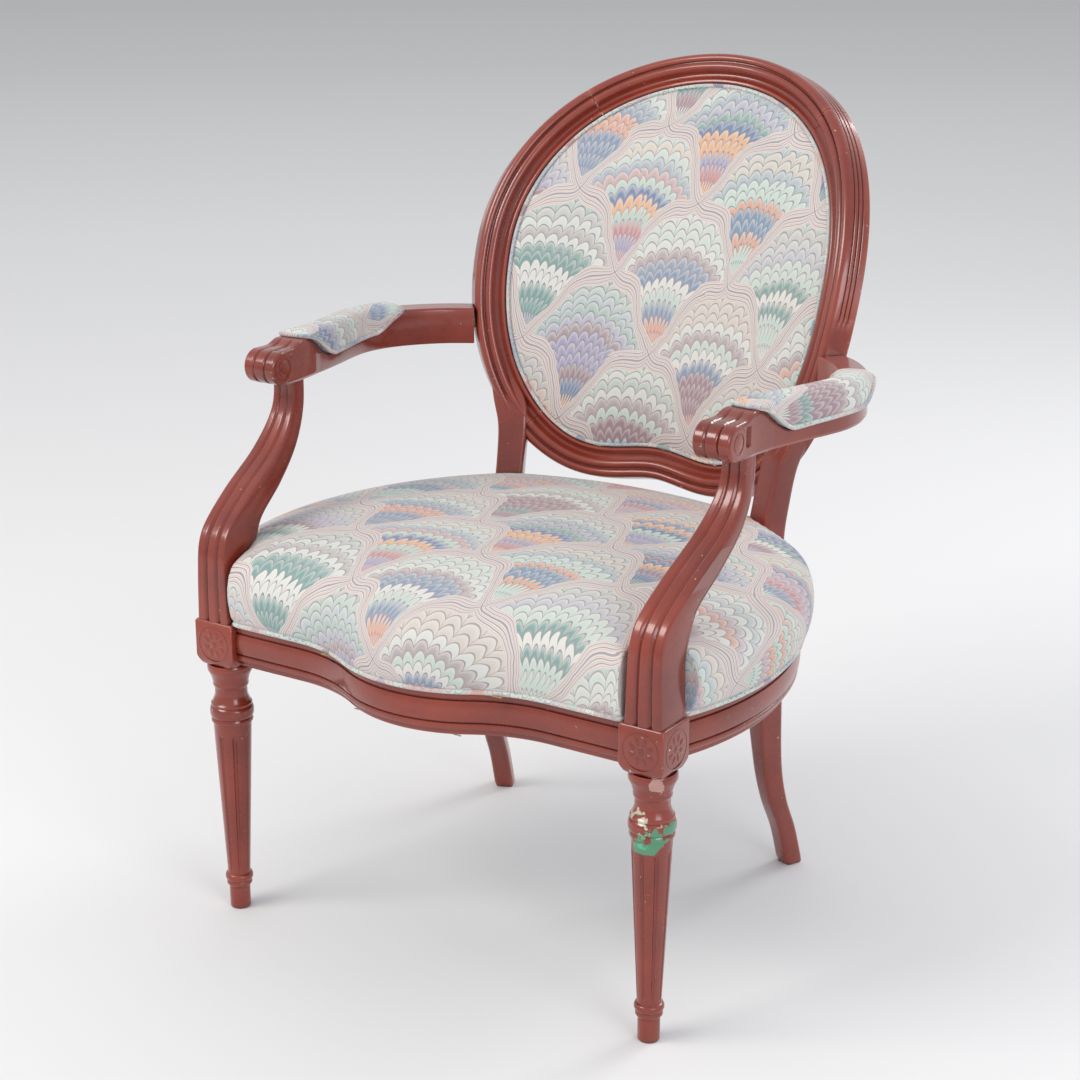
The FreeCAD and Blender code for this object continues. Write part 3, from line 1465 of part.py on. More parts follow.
def back_upholstery():
    cloth = float(d.cloth_thickness)
    gap = float(d.cloth_clearance)
    web = float(d.web_thickness)
    rest = float(d.front_rabbet)
    edge = float(d.pad_edge)
    crown = float(d.back_crown)
    welt = float(d.welt_size)
    ledge = float(d.ledge_width)

    # Webbing on the front of the tongue: three upright straps, then three level ones.
    uprights = back_sheet(gap * 6, rest - web, web)
    levels = back_sheet(gap * 6, rest - web * 2, web)
    width = float(d.web_width)
    down, up = -float(d.oval_down), float(d.oval_up)
    across = float(d.oval_half_width)
    straps = []
    for index in (-1, 0, 1):
        near = index * width * 2 - width / 2
        far = near + width
        straps.append(uprights.common(back_strap(near, far, down, up)))
        straps.append(levels.common(back_strap(-across, across, near, far)))
    keep_shape(Part.makeCompound(straps), "back_webbing")

    burlap_depth = rest - web * 2 - float(d.burlap_thickness) - float(slack)
    pad_depth = burlap_depth - float(slack)
    cord = welt * 0.8
    cover_inset = cord + gap * 1.5
    inset = cover_inset + cloth + gap
    keep_shape(back_sheet(inset, burlap_depth, float(d.burlap_thickness)), "back_burlap")
    keep_shape(back_cushion(inset, pad_depth, edge, crown), "back_pad")
    room = back_cushion(inset - gap, rest * 2, edge + gap + rest * 2 - pad_depth, crown)
    cover = back_cushion(cover_inset, pad_depth, edge + gap + cloth, crown).cut(room)
    keep_shape(cover, "back_cover_front")
    keep_shape(oval_piping(cord / 2 + gap * 0.75, d.moulding_step * 4, cord), "back_welt_front")

    # The tongue is cut square to the middle of the frame, so it stands behind the bent sheet.
    tongue_rise = (float(d.ledge_width) + float(d.oval_face) / 2) ** 2 / (
        2 * float(d.back_curve_radius))
    rear_face = float(d.oval_depth) - float(d.rear_rabbet) + tongue_rise + float(slack)
    cover_inset = cord * 0.75 + gap * 2.5
    keep_shape(back_sheet(cover_inset, rear_face, cloth), "back_cover_rear")
    keep_shape(oval_piping(cord * 0.375 + gap * 2, rear_face + cord * 0.375, cord * 0.75),
               "back_welt_rear")


# The rails, legs and back
left_leg = front_leg()
keep_mirrored(left_leg, "front_leg_right")
front_rail()
left_rail = side_rail()
keep_mirrored(left_rail, "seat_rail_right")
back_rail = rear_rail()
corner_blocks_and_screws()
bottom_rail = oval_rails()
doc.recompute()
settled = Vector(0, d.origin_setback, 0)
rails = [piece.Shape.translated(settled) for piece in (left_rail, back_rail)]
back_upright_shape = back_upright(bottom_rail, rails)
keep_pair(back_upright_shape, "back_upright")
arm_wood_shape = arm_wood()
keep_pair(arm_wood_shape, "arm")
keep_pair(arm_support(), "arm_support")
dowels = support_dowels() + [arm_dowel()]
keep_shape(Part.makeCompound(dowels + [mirrored(dowel) for dowel in dowels]), "arm_dowels")
arm_upholstery()
seat_upholstery()
back_upholstery()
doc.recompute()

for item in doc.Objects:
    if "Invalid" in item.State or "Error" in item.State:
        raise RuntimeError(f"{item.Label} failed: {item.State}")
os.makedirs("parts", exist_ok=True)
for piece in pieces:
    shape = piece.Shape
    if shape.isNull() or not shape.isValid():
        raise RuntimeError(f"{piece.Label} has no valid shape")
    shape.exportStep(f"parts/{piece.Label}.step")
    print(piece.Label, len(shape.Solids), round(shape.Volume / 1000, 1), "cm3")
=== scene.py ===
"""Looks for an oval-backed painted armchair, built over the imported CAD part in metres.

+X is the sitter's left, +Y the back, +Z up; the sitter looks along -Y.
"""
import math

import bpy
import numpy as np
from mathutils import Matrix, Vector


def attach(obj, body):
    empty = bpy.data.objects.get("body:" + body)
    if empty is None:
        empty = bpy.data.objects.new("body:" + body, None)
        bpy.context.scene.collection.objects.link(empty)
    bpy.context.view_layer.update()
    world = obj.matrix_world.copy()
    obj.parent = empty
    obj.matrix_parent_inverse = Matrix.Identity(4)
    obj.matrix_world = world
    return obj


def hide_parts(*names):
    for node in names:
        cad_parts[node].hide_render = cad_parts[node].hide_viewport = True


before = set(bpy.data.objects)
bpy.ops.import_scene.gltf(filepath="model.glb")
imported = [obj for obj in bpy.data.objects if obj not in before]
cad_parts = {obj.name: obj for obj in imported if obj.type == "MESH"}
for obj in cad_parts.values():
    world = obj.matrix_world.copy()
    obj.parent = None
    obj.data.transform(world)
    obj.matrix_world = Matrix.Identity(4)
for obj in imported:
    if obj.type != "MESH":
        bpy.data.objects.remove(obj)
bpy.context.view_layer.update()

# Camera
# A portrait lens a little above the arms, in front of the chair and to the sitter's left.
camera_data = bpy.data.cameras.new("camera")
camera_data.lens = 75.11
camera_data.sensor_width = 36
camera = bpy.data.objects.new("camera", camera_data)
bpy.context.scene.collection.objects.link(camera)
forward = Vector((-0.51783, 0.79760, -0.30933)).normalized()
right = Vector((0.83864, 0.54469, 0.00055)).normalized()
up = right.cross(forward)
camera.matrix_world = Matrix((
    (right.x, up.x, -forward.x, 1.34579),
    (right.y, up.y, -forward.y, -2.14913),
    (right.z, up.z, -forward.z, 1.25419),
    (0, 0, 0, 1),
))
bpy.context.scene.camera = camera
bpy.context.scene.view_settings.view_transform = "Standard"


def colour(code):
    """Linear colour from an sRGB hex code."""
    channels = [int(code[i:i + 2], 16) / 255 for i in (0, 2, 4)]
    linear = [c / 12.92 if c <= 0.04045 else ((c + 0.055) / 1.055) ** 2.4 for c in channels]
    return (*linear, 1)


def material(name):
    """A new material and its empty node tree."""
    made = bpy.data.materials.new(name)
    made.use_nodes = True
    made.node_tree.nodes.clear()
    return made, made.node_tree


def add(tree, kind, *inputs, out=0, stops=(), banded=False, **settings):
    """Adds a node and returns one of its outputs.

    The inputs are values or outputs to link, in the order of the sockets or in one dict by name
    or number. Settings are the node's properties. A kind in capitals is an operation of the
    Math node, and stops are a ramp's places and hex colours, which banded keeps unblended.
    """
    node = tree.nodes.new("ShaderNode" + ("Math" if kind.isupper() else kind))
    if kind.isupper():
        node.operation = kind
    for name, value in settings.items():
        setattr(node, name, value)
    by_name = bool(inputs) and isinstance(inputs[0], dict)
    for name, value in (inputs[0] if by_name else dict(enumerate(inputs))).items():
        if isinstance(value, bpy.types.NodeSocket):
            tree.links.new(value, node.inputs[name])
        else:
            node.inputs[name].default_value = value
    if stops:
        node.color_ramp.interpolation = "CONSTANT" if banded else "LINEAR"
        elements = node.color_ramp.elements
        while len(elements) < len(stops):
            elements.new(0.5)
        for element, (place, code) in zip(elements, stops):
            element.position = place
            element.color = colour(code)
    return node.outputs[out] if node.outputs else None


def every(size):
    """The noise scale that puts a feature about every so many millimetres."""
    return 1000 / size


# A Mix node that blends two colours has its factor in socket 0 and the colours in 6 and 7.
COLOURS = {"out": 2, "data_type": "RGBA"}

# Floor and light
# Matt pale studio floor with a painted fall-off of light to grey far away, where it meets a
# surround of the same grey, lit by a broad key light, a fill and a low rim.
FLOOR_REACH, FADE_REACH = 60, 15.0
floor_material, tree = material("pale_studio_floor")
speckle = add(tree, "TexNoise", {"Scale": every(333.3), "Detail": 2.0})
tint = add(tree, "ValToRGB", speckle, stops=[(0.3, "e6e6e6"), (0.7, "eaeaea")])
place = add(tree, "TexCoord", out="Object")
away = add(tree, "VectorMath", place, out="Value", operation="LENGTH")
# Painted fall-off of light: white within 4.5 m of the chair, fading to grey by 13.5 m.
shade = add(tree, "ValToRGB", add(tree, "DIVIDE", away, FADE_REACH),
            stops=[(0.3, "ffffff"), (0.46, "f3f3f3"), (0.62, "e5e5e5"), (0.9, "d7d7d7")])
tint = add(tree, "Mix", {0: 1.0, 6: tint, 7: shade}, blend_type="MULTIPLY", **COLOURS)
matt = add(tree, "BsdfPrincipled", {"Base Color": tint, "Roughness": 0.9})
add(tree, "OutputMaterial", matt)
floor_mesh = bpy.data.meshes.new("floor")
floor_mesh.from_pydata([(x * FLOOR_REACH, y * FLOOR_REACH, 0)
                        for x, y in ((-1, -1), (1, -1), (1, 1), (-1, 1))], [], [(0, 1, 2, 3)])
floor_mesh.materials.append(floor_material)
floor = bpy.data.objects.new("floor", floor_mesh)
bpy.context.scene.collection.objects.link(floor)

world = bpy.data.worlds.new("studio")
bpy.context.scene.world = world
world.use_nodes = True
tree = world.node_tree
tree.nodes.clear()
seen = add(tree, "Background", colour("adadaf"), 1.0)
lit = add(tree, "Background", colour("f2f3f6"), 0.85)
camera_ray = add(tree, "LightPath", out="Is Camera Ray")
add(tree, "OutputWorld", add(tree, "MixShader", camera_ray, lit, seen))


def area_light(name, place, aim, width, power, tone):
    data = bpy.data.lights.new(name, "AREA")
    data.shape = "RECTANGLE"
    data.size = width
    data.size_y = width * 0.7
    data.energy = power
    data.color = colour(tone)[:3]
    lamp = bpy.data.objects.new(name, data)
    lamp.location = place
    lamp.rotation_mode = "QUATERNION"
    lamp.rotation_quaternion = (Vector(aim) - Vector(place)).to_track_quat("-Z", "Y")
    bpy.context.scene.collection.objects.link(lamp)


area_light("key", (-1.6, -2.4, 2.9), (0, 0, 0.5), 1.8, 62, "fffaf4")
area_light("fill", (2.9, -1.5, 1.7), (0, 0, 0.5), 1.5, 26, "f4f7ff")
area_light("rim", (1.0, 2.6, 2.2), (0, 0, 0.6), 1.2, 24, "ffffff")


def object_from(name, vertices, faces, surface, sharp=32, uv=None):
    mesh = bpy.data.meshes.new(name)
    mesh.from_pydata([tuple(v) for v in vertices], [], faces)
    mesh.validate()
    if uv is not None:
        layer = mesh.uv_layers.new(name="cloth")
        flat = np.array(uv, dtype=float)[[loop.vertex_index for loop in mesh.loops]]
        layer.data.foreach_set("uv", flat.ravel())
    mesh.materials.append(surface)
    mesh.shade_smooth()
    mesh.set_sharp_from_angle(angle=math.radians(sharp))
    made = bpy.data.objects.new(name, mesh)
    bpy.context.scene.collection.objects.link(made)
    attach(made, "root")
    return made


def strips(rings, looped, caps, start):
    """Faces between closed rings of equal length, numbered from a first vertex."""
    count = len(rings[0])
    faces = []
    for ring in range(len(rings) if looped else len(rings) - 1):
        here = start + ring * count
        there = start + ((ring + 1) % len(rings)) * count
        for i in range(count):
            j = (i + 1) % count
            faces.append((here + i, here + j, there + j, there + i))
    if caps and not looped:
        faces.append(tuple(start + i for i in reversed(range(count))))
        last = start + (len(rings) - 1) * count
        faces.append(tuple(last + i for i in range(count)))
    return faces


class Shape:
    """Vertices, faces and cloth places gathered for one piece."""

    def __init__(self):
        self.vertices, self.faces, self.uv = [], [], []

    def rings(self, rings, looped=False, caps=True, uv=None):
        self.faces += strips(rings, looped, caps, len(self.vertices))
        for number, ring in enumerate(rings):
            self.vertices += list(ring)
            self.uv += uv[number] if uv else [(v[0], v[1]) for v in ring]
        return self

    def mirror(self):
        """The same shape on the other side, with another part of the print on it."""
        other = Shape()
        other.vertices = [(-v[0], v[1], v[2]) for v in self.vertices]
        other.faces = [tuple(reversed(face)) for face in self.faces]
        other.uv = [(-u + 0.31, v + 0.17) for u, v in self.uv]
        return other

    def make(self, name, surface, sharp=32, with_uv=False):
        return object_from(name, self.vertices, self.faces, surface, sharp,
                           self.uv if with_uv else None)


def pair(shape, name, surface, nodes=None, sharp=32, with_uv=False):
    """The left piece and its mirrored right piece, each standing for its CAD nodes."""
    made = []
    for side, one in (("left", shape), ("right", shape.mirror())):
        piece = one.make(f"{name}_{side}", surface, sharp, with_uv)
        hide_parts(*[f"{node}_{side}" for node in (nodes or [name])])
        made.append(piece)
    return made


def smooth(table, share):
    """A row of a table read at a share of its first column, eased between the rows."""
    at = max(i for i in range(len(table) - 1) if table[i][0] <= share + 1e-9)
    before, here, there = table[max(at - 1, 0)], table[at], table[at + 1]
    after = table[min(at + 2, len(table) - 1)]
    gap = there[0] - here[0]
    t = (share - here[0]) / gap
    row = []
    for k in range(1, len(here)):
        first = gap * (there[k] - before[k]) / (there[0] - before[0])
        second = gap * (after[k] - here[k]) / (after[0] - here[0])
        rise = there[k] - here[k]
        row.append(here[k] + first * t + (3 * rise - 2 * first - second) * t ** 2
                   + (first + second - 2 * rise) * t ** 3)
    return row


def rounded(points, radius, steps=3):
    """A closed outline whose corners are eased by short curves of the given reach."""
    out = []
    count = len(points)
    for i, p in enumerate(points):
        before, after = points[i - 1], points[(i + 1) % count]
        p = np.array(p, dtype=float)
        a, b = np.array(before) - p, np.array(after) - p
        la, lb = np.linalg.norm(a), np.linalg.norm(b)
        reach = min(radius, la * 0.45, lb * 0.45)
        start, end = p + a / la * reach, p + b / lb * reach
        for step in range(steps + 1):
            t = step / steps
            out.append(tuple((1 - t) ** 2 * start + 2 * t * (1 - t) * p + t ** 2 * end))
    return out


# Pieces are drawn in millimetres, with the front legs' centres at 0 from front to back.
MM = 0.001
SETBACK = 0.299


def at(x, y, z):
    return x * MM, y * MM - SETBACK, z * MM


# Painted wood
# Beech under oil paint, brushed on over a pale ground. Satin: soft highlights along the
# mouldings, with rubbed lighter edges, painted shade darkening the hollows, and small chips. The
# left front leg has remains of an older green, pink and cream scheme round its neck and rings.
def painted_wood(name, patched=False):
    made, tree = material(name)
    place = add(tree, "TexCoord", out="Object")
    shape = add(tree, "NewGeometry", out="Pointiness")
    cloudy = add(tree, "TexNoise", {"Vector": place, "Scale": every(111.1), "Detail": 6.0,
                                    "Roughness": 0.62})
    brushed = add(tree, "TexNoise", {"Vector": place, "Scale": every(8.333), "Detail": 4.0,
                                     "Roughness": 0.7})
    body = add(tree, "ValToRGB", cloudy, stops=[(0.28, "691f12"), (0.45, "7e2a19"),
                                                (0.6, "8b321f"), (0.78, "993f29")])
    body = add(tree, "Mix", {0: add(tree, "MULTIPLY", brushed, 0.3), 6: body,
                             7: colour("6f2111")}, **COLOURS)
    edge = add(tree, "MapRange", shape, 0.52, 0.60, 0.0, 0.85)
    edge = add(tree, "MULTIPLY", edge, add(tree, "ADD", brushed, 0.25), use_clamp=True)
    body = add(tree, "Mix", {0: edge, 6: body, 7: colour("ad5845")}, **COLOURS)
    # Painted shade: ambient occlusion darkens the paint towards near-black red in hollows and
    # grooves.
    hollow_occlusion = add(tree, "AmbientOcclusion", {"Distance": 7 * MM}, out="AO", samples=6)
    painted_hollow_shade = add(tree, "MapRange", hollow_occlusion, 0.72, 0.3, 0.0, 0.85)
    body = add(tree, "Mix", {0: painted_hollow_shade, 6: body, 7: colour("2c0f0c")}, **COLOURS)
    # Chips down to the pale ground are 1 to 2 mm across and lie mostly on the edges.
    grain = add(tree, "TexNoise", {"Vector": place, "Scale": every(4.762), "Detail": 3.0,
                                   "Roughness": 0.6})
    area = add(tree, "TexNoise", {"Vector": place, "Scale": every(45.45), "Detail": 2.0})
    chance = add(tree, "MULTIPLY_ADD", edge, 0.14, add(tree, "MULTIPLY", area, 0.22))
    chip = add(tree, "MapRange", add(tree, "ADD", grain, chance), 0.845, 0.865)
    body = add(tree, "Mix", {0: chip, 6: body, 7: colour("cdb79d")}, **COLOURS)
    if patched:
        body = patches(tree, place, body)
    gloss = add(tree, "MapRange", cloudy, 0.3, 0.7, 0.2, 0.36)
    bump = add(tree, "Bump", {"Strength": 0.12, "Distance": 0.6 * MM, "Height": brushed})
    add(tree, "OutputMaterial", add(tree, "BsdfPrincipled", {
        "Base Color": body, "Roughness": gloss, "Normal": bump,
        "Coat Weight": 0.55, "Coat Roughness": 0.12}))
    return made


def patches(tree, place, body):
    """Older paint on the side that looks ahead and outward, in bands of heights in metres."""
    x, y, z = add(tree, "SeparateXYZ", place).node.outputs
    flecks = add(tree, "TexNoise", {"Vector": place, "Scale": every(18.18), "Detail": 5.0,
                                    "Roughness": 0.65})
    blots = add(tree, "TexNoise", {"Vector": place, "Scale": every(38.46), "Detail": 3.0})
    facing = add(tree, "GREATER_THAN", add(tree, "SUBTRACT", x, y), LEG_X - LEG_Y - 0.008)
    for low, high, pick, limit, code in ((0.226, 0.292, blots, 0.60, "3f8f6a"),
                                         (0.232, 0.272, flecks, 0.59, "57b08a"),
                                         (0.250, 0.300, flecks, 0.60, "c9b6a4"),
                                         (0.262, 0.316, blots, 0.60, "b98b80"),
                                         (0.290, 0.368, flecks, 0.665, "d9c9b2"),
                                         (0.060, 0.200, flecks, 0.70, "c9b49c")):
        above = add(tree, "GREATER_THAN", z, low)
        below = add(tree, "LESS_THAN", z, high)
        mask = add(tree, "MapRange", pick, limit, limit + 0.015)
        mask = add(tree, "MULTIPLY", add(tree, "MULTIPLY", above, below), mask)
        mask = add(tree, "MULTIPLY", mask, facing)
        body = add(tree, "Mix", {0: add(tree, "MULTIPLY", mask, 0.9), 6: body,
                                 7: colour(code)}, **COLOURS)
    return body


LEG_X, LEG_Y = 0.2835, -SETBACK
paint = painted_wood("oxblood_paint_on_beech")
patched_paint = painted_wood("oxblood_paint_with_old_patches", True)

# Front legs
# Turned and fluted beech with a square block above, a carved rosette sunk in its two outer
# faces; the rails are mortised into the block and the arm support is dowelled on top.
FLUTE_LOW, FLUTE_TOP, FLUTES = 50.0, 226.0, 8
BLOCK_HALF, BLOCK_MIDDLE = 27, 342
turning = [(0, 0), (10.6, 0), (11.8, 1.2), (12.2, 3), (12.2, 26), (11.6, 28), (13.6, 29.5),
           (15, 31.5), (15, 34), (14.2, 36), (15.6, 37.4), (16.4, 39.4), (16.4, 42), (15.4, 44.4),
           (13.4, 45.6), (13.3, 48), (22.2, 238.6), (22.6, 240.4), (24.2, 241.4), (24.4, 243.4),
           (23.6, 245.4), (23.1, 246.4), (24.6, 248), (25.5, 250.4), (25.5, 256), (24.6, 259),
           (23.2, 260.6), (23.8, 262), (23.8, 264), (22.2, 265.8), (20.4, 270), (19.0, 274),
           (18.8, 280), (19.2, 284.4), (20.6, 286.2), (20.9, 288.2), (20.6, 290), (20.9, 292),
           (22.2, 297), (24.2, 301.6), (25.8, 304.6), (26.3, 306.4), (26.3, 311), (25.2, 313.4)]
leg = Shape()
levels = []
for (r0, z0), (r1, z1) in zip(turning, turning[1:]):
    parts = 60 if z1 - z0 > 100 else 2
    levels += [(r0 + (r1 - r0) * k / parts, z0 + (z1 - z0) * k / parts) for k in range(parts)]
levels.append(turning[-1])
around = 144
rings = []
for radius, z in levels:
    ring = []
    share = (z - FLUTE_LOW) / (FLUTE_TOP - FLUTE_LOW)
    half = (1.5 + 1.3 * share) if 0 < share < 1 else 0
    ends = min(1, (z - FLUTE_LOW) / 5, (FLUTE_TOP - z) / 5) if half else 0
    half *= math.sqrt(max(0, 1 - (1 - ends) ** 2))
    for k in range(around):
        turn = 2 * math.pi * k / around
        away = abs((turn + math.pi / FLUTES) % (2 * math.pi / FLUTES) - math.pi / FLUTES)
        away *= radius
        dip = math.sqrt(max(0, 1 - (away / half) ** 2)) * half * 0.8 if half > 0.2 else 0
        r = (radius - dip) * MM
        ring.append((LEG_X + r * math.cos(turn), LEG_Y + r * math.sin(turn), z * MM))
    rings.append(ring)
leg.rings(rings)
block = []
for inset, z in ((9, 312), (5.5, 313), (2.6, 316), (1.2, 320), (0.4, 323), (0, 326), (0, 366.6),
                 (0.7, 368.2), (1.8, 369)):
    h = BLOCK_HALF - inset
    outline = rounded([(-h, -h), (h, -h), (h, h), (-h, h)], max(2.0, 2 + inset * 2), 5)
    block.append([(LEG_X + x * MM, LEG_Y + y * MM, z * MM) for x, y in outline])
leg.rings(block)


def rosette(shape, axis):
    """A round bed with an incised edge, eight petals and a boss, a hair proud of the face."""
    boss, bed, rim = 4.8, 18.9, 20.5
    rings = []
    for step in range(46):
        r = 21.2 * step / 45
        ring = []
        for k in range(128):
            turn = 2 * math.pi * k / 128
            petal = abs(math.sin(turn * 4))
            height = 0.3
            if bed < r < rim:
                height = -1.6
            elif boss < r <= bed:
                reach = (r - boss) / 13.6
                swell = math.sin(math.pi * min(1, reach) ** 0.9) ** 0.5
                height = -1.9 + 2.9 * swell * petal ** 0.6
            elif r <= boss:
                height = 1.6 * math.sqrt(max(0, 1 - (r / 5.0) ** 2)) - 0.6
            a, b = r * math.cos(turn), r * math.sin(turn)
            lift, z = (BLOCK_HALF + height) * MM, (BLOCK_MIDDLE + b) * MM
            ring.append((LEG_X + a * MM, LEG_Y - lift, z) if axis == "y"
                        else (LEG_X + lift, LEG_Y + a * MM, z))
        rings.append(ring)
    shape.rings(rings[1:] if axis == "y" else [list(reversed(r)) for r in rings[1:]], caps=False)


for axis in ("y", "x"):
    rosette(leg, axis)
for side, one, surface in (("left", leg, patched_paint), ("right", leg.mirror(), paint)):
    piece = one.make(f"front_leg_{side}", surface, 40)
    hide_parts(f"front_leg_{side}")

# Seat rails
# Moulded rails: a crowned band between two grooves over a bead. The front rail is serpentine,
# the side rails are bowed, and the plain rear rail is bent round the back of the seat.
moulding = [(30, 317), (9, 317), (8.2, 318), (8, 320.4), (8.3, 322), (6.6, 322.8), (5.8, 324.4),
            (3.4, 325.6), (2.2, 327.4), (2, 329.4), (2.6, 331.4), (4.2, 332.6), (4.0, 333.6),
            (1.6, 334.4), (0.5, 338), (0, 344), (0, 348), (0.5, 353), (1.6, 357.6), (4.0, 358.4),
            (4.2, 359.4), (2.3, 360.4), (2, 362), (2, 365), (3, 366.8), (5, 367.2), (30, 367.2)]
FRONT_FACE, BOW, BOW_HALF = -20.0, 46.0, 165.0
bow_radius = (BOW_HALF * BOW_HALF + BOW * BOW) / (4 * BOW)
front_line = []
for step in range(193):
    x = -256.6 + 513.2 * step / 192
    inside = abs(x)
    if inside > BOW_HALF:
        y, slope = FRONT_FACE, 0.0
    elif inside > BOW_HALF / 2:
        drop = math.sqrt(bow_radius ** 2 - (BOW_HALF - inside) ** 2)
        y = FRONT_FACE - (bow_radius - drop)
        slope = (BOW_HALF - inside) / drop * math.copysign(1, x)
    else:
        drop = math.sqrt(bow_radius ** 2 - inside ** 2)
        y = FRONT_FACE - BOW + (bow_radius - drop)
        slope = x / drop
    front_line.append((x, y, slope))
rings = []
for x, y, slope in front_line:
    length = math.hypot(1, slope)
    nx, ny = -slope / length, 1 / length
    rings.append([at(x + nx * u, y + ny * u, z) for u, z in moulding])
front_rail = Shape().rings(rings).make("seat_rail_front", paint, 28)
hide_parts("seat_rail_front")

# The side rails are arcs that end square against the leg blocks.
side_x, side_y, side_r = -23.3, 158.6, 352.3
rings = []
for step in range(81):
    turn = math.radians(-22.2 + (51.9 + 22.2) * step / 80)
    ring = [at(side_x + (side_r - u) * math.cos(turn), side_y + (side_r - u) * math.sin(turn), z)
            for u, z in moulding]
    rings.append([(x, max(y, 27.2 * MM - SETBACK), z) for x, y, z in ring])
pair(Shape().rings(rings), "seat_rail", paint, sharp=28)


# Back frame
# An oval of four moulded members bent to one curve and raked back: crest rail, bottom rail and
# two stiles. Each stile runs on as the post and the swept rear leg; the joints show as fine
# lines.
RAKE = math.radians(19)
BEND = 360.0
BACK_Y, BACK_Z = 557, 708
OVAL_HALF, OVAL_UP, OVAL_DOWN = 231.5, 235.5, 255.0
WAVE_RISE, WAVE_WIDTH = 34, 85


def on_back(across, height, depth):
    """A place on the bent back; depth goes away from the sitter."""
    turn = across / BEND
    side, out = (BEND + depth) * math.sin(turn), (BEND + depth) * math.cos(turn)
    y = BACK_Y - BEND * math.cos(RAKE) + out * math.cos(RAKE) + height * math.sin(RAKE)
    z = BACK_Z + BEND * math.sin(RAKE) - out * math.sin(RAKE) + height * math.cos(RAKE)
    return at(side, y, z)


def oval_edge(angle, inset=0.0):
    """The inner edge of the oval's face, as places across and up the back."""
    across, rise = math.cos(angle), math.sin(angle)
    power, reach = (1.03, OVAL_UP) if rise > 0 else (0.89, OVAL_DOWN)
    x = (OVAL_HALF - inset) * math.copysign(abs(across) ** power, across)
    v = (reach - inset) * math.copysign(abs(rise) ** power, rise)
    if rise < 0:
        v += WAVE_RISE * math.exp(-((x / WAVE_WIDTH) ** 2))
    return x, v


def on_oval(angle, from_inside, depth):
    x0, v0 = oval_edge(angle - 0.004)
    x1, v1 = oval_edge(angle + 0.004)
    length = math.hypot(x1 - x0, v1 - v0)
    x, v = oval_edge(angle)
    return on_back(x + (v1 - v0) / length * from_inside, v + (x0 - x1) / length * from_inside,
                   depth)


oval_section = [(0, 6), (0.8, 3.8), (2.4, 2.5), (4.2, 2.6), (5.6, 3.6), (6.6, 5.4), (8.5, 7.3),
                (10.5, 8.4), (12.5, 8.4), (14.4, 7.1), (15.6, 5.2), (16.6, 3.2), (18, 1.3),
                (19.8, 0.2), (21.5, 0), (23.6, 0.4), (25.4, 1.6), (26.4, 3.0), (27.0, 4.3),
                (27.8, 4.3), (28.5, 2.8), (30.2, 1.5), (32.5, 1.2), (34.8, 1.9), (36.7, 3.6),
                (37.9, 6), (38.5, 8.6), (38.5, 32.5), (37, 34), (1.5, 34), (0, 32.5)]
reeds = [(0.0, 12.6), (-1.3, 13.8), (0.0, 15.0), (0.0, 18.0), (-1.3, 19.2), (0.0, 20.4),
         (0.0, 23.4), (-1.3, 24.6), (0.0, 25.8)]


def oval_part(start, end, steps):
    """Rings of the moulding; three reeds run down the outer side to just above the arms."""
    rings = []
    for k in range(steps + 1):
        degrees = start + (end - start) * k / steps
        above = min(degrees + 9, 189 - degrees)
        cut = min(1.0, max(0.0, above / 2.5))
        section = oval_section[:27] + [(38.5 + dip * cut, w) for dip, w in reeds]
        section += oval_section[27:]
        rings.append([on_oval(math.radians(degrees), u, w) for u, w in section])
    return rings


crest = Shape().rings(oval_part(50.08, 129.92, 90)).make("back_crest_rail", paint, 30)
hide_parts("back_crest_rail")
bottom = Shape().rings(oval_part(230.08, 309.92, 120)).make("back_bottom_rail", paint, 30)
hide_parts("back_bottom_rail")

upright = Shape().rings(oval_part(-49.92, 49.92, 110))
FOOT = (214, 467)
POST = (186.0, 427.0)
TIP = (215.5, 462.9, 577.6)
POST_TURN = math.radians(25)
RAIL_TOP = 367
leg_rows = [(0.0, 0.0, 0.0, 0.0), (0.144, 0.107, 0.425, 0.0), (0.267, 0.25, 0.925, 0.1),
            (0.4, 0.43, 1.15, 0.28), (0.654, 0.75, 1.1, 0.9), (0.87, 0.93, 1.02, 1.0),
            (1.0, 1.0, 1.0, 1.0)]
post_rows = [(0.0, 0.0, 0.0, 0.0, 0.0), (0.306, -0.09, 0.16, 0.0, 0.0),
             (0.5, -0.036, 0.41, 0.0, 0.1), (0.69, 0.08, 0.68, 0.3, 0.3),
             (0.833, 0.39, 0.85, 0.7, 0.6), (1.0, 1.0, 1.0, -0.9, 1.0)]


def turned_section(x, y, z, width, depth, turn, ease):
    """A level section with eased corners, its faces turned towards the seat's middle."""
    w, h = width / 2, depth / 2
    outline = rounded([(-w, -h), (w, -h), (w, h), (-w, h)], ease, 4)
    return [at(x + a * math.cos(turn) + b * math.sin(turn),
               y - a * math.sin(turn) + b * math.cos(turn), z) for a, b in outline]


# The sole and the ring 2 mm above it make the eased edge of the foot.
rings = [turned_section(*FOOT, 0, 22, 22, POST_TURN, 5),
         turned_section(*FOOT, 2, 25 - 1.6, 25 - 1.6, POST_TURN, 5)]
for step in range(1, 49):
    rise = step / 48
    inward, ahead, thick = smooth(leg_rows, min(rise, 0.9999))
    rings.append(turned_section(FOOT[0] + (POST[0] - FOOT[0]) * inward,
                                FOOT[1] + (POST[1] - FOOT[1]) * ahead, RAIL_TOP * rise,
                                25 + 10 * thick, 25 + 9 * thick, POST_TURN, 6))
for step in range(1, 41):
    rise = step / 40
    sideways, backward, spread, thin = smooth(post_rows, min(rise, 0.9999))
    rings.append(turned_section(
        POST[0] + (TIP[0] - POST[0]) * sideways, POST[1] + (TIP[1] - POST[1]) * backward,
        RAIL_TOP + (TIP[2] - RAIL_TOP) * rise, 35 * (1 + spread * 0.25),
        34 * (1 - thin * 0.32), POST_TURN + thin * 0.12, 6))
upright.rings(rings)
pair(upright, "back_upright", paint, sharp=34)

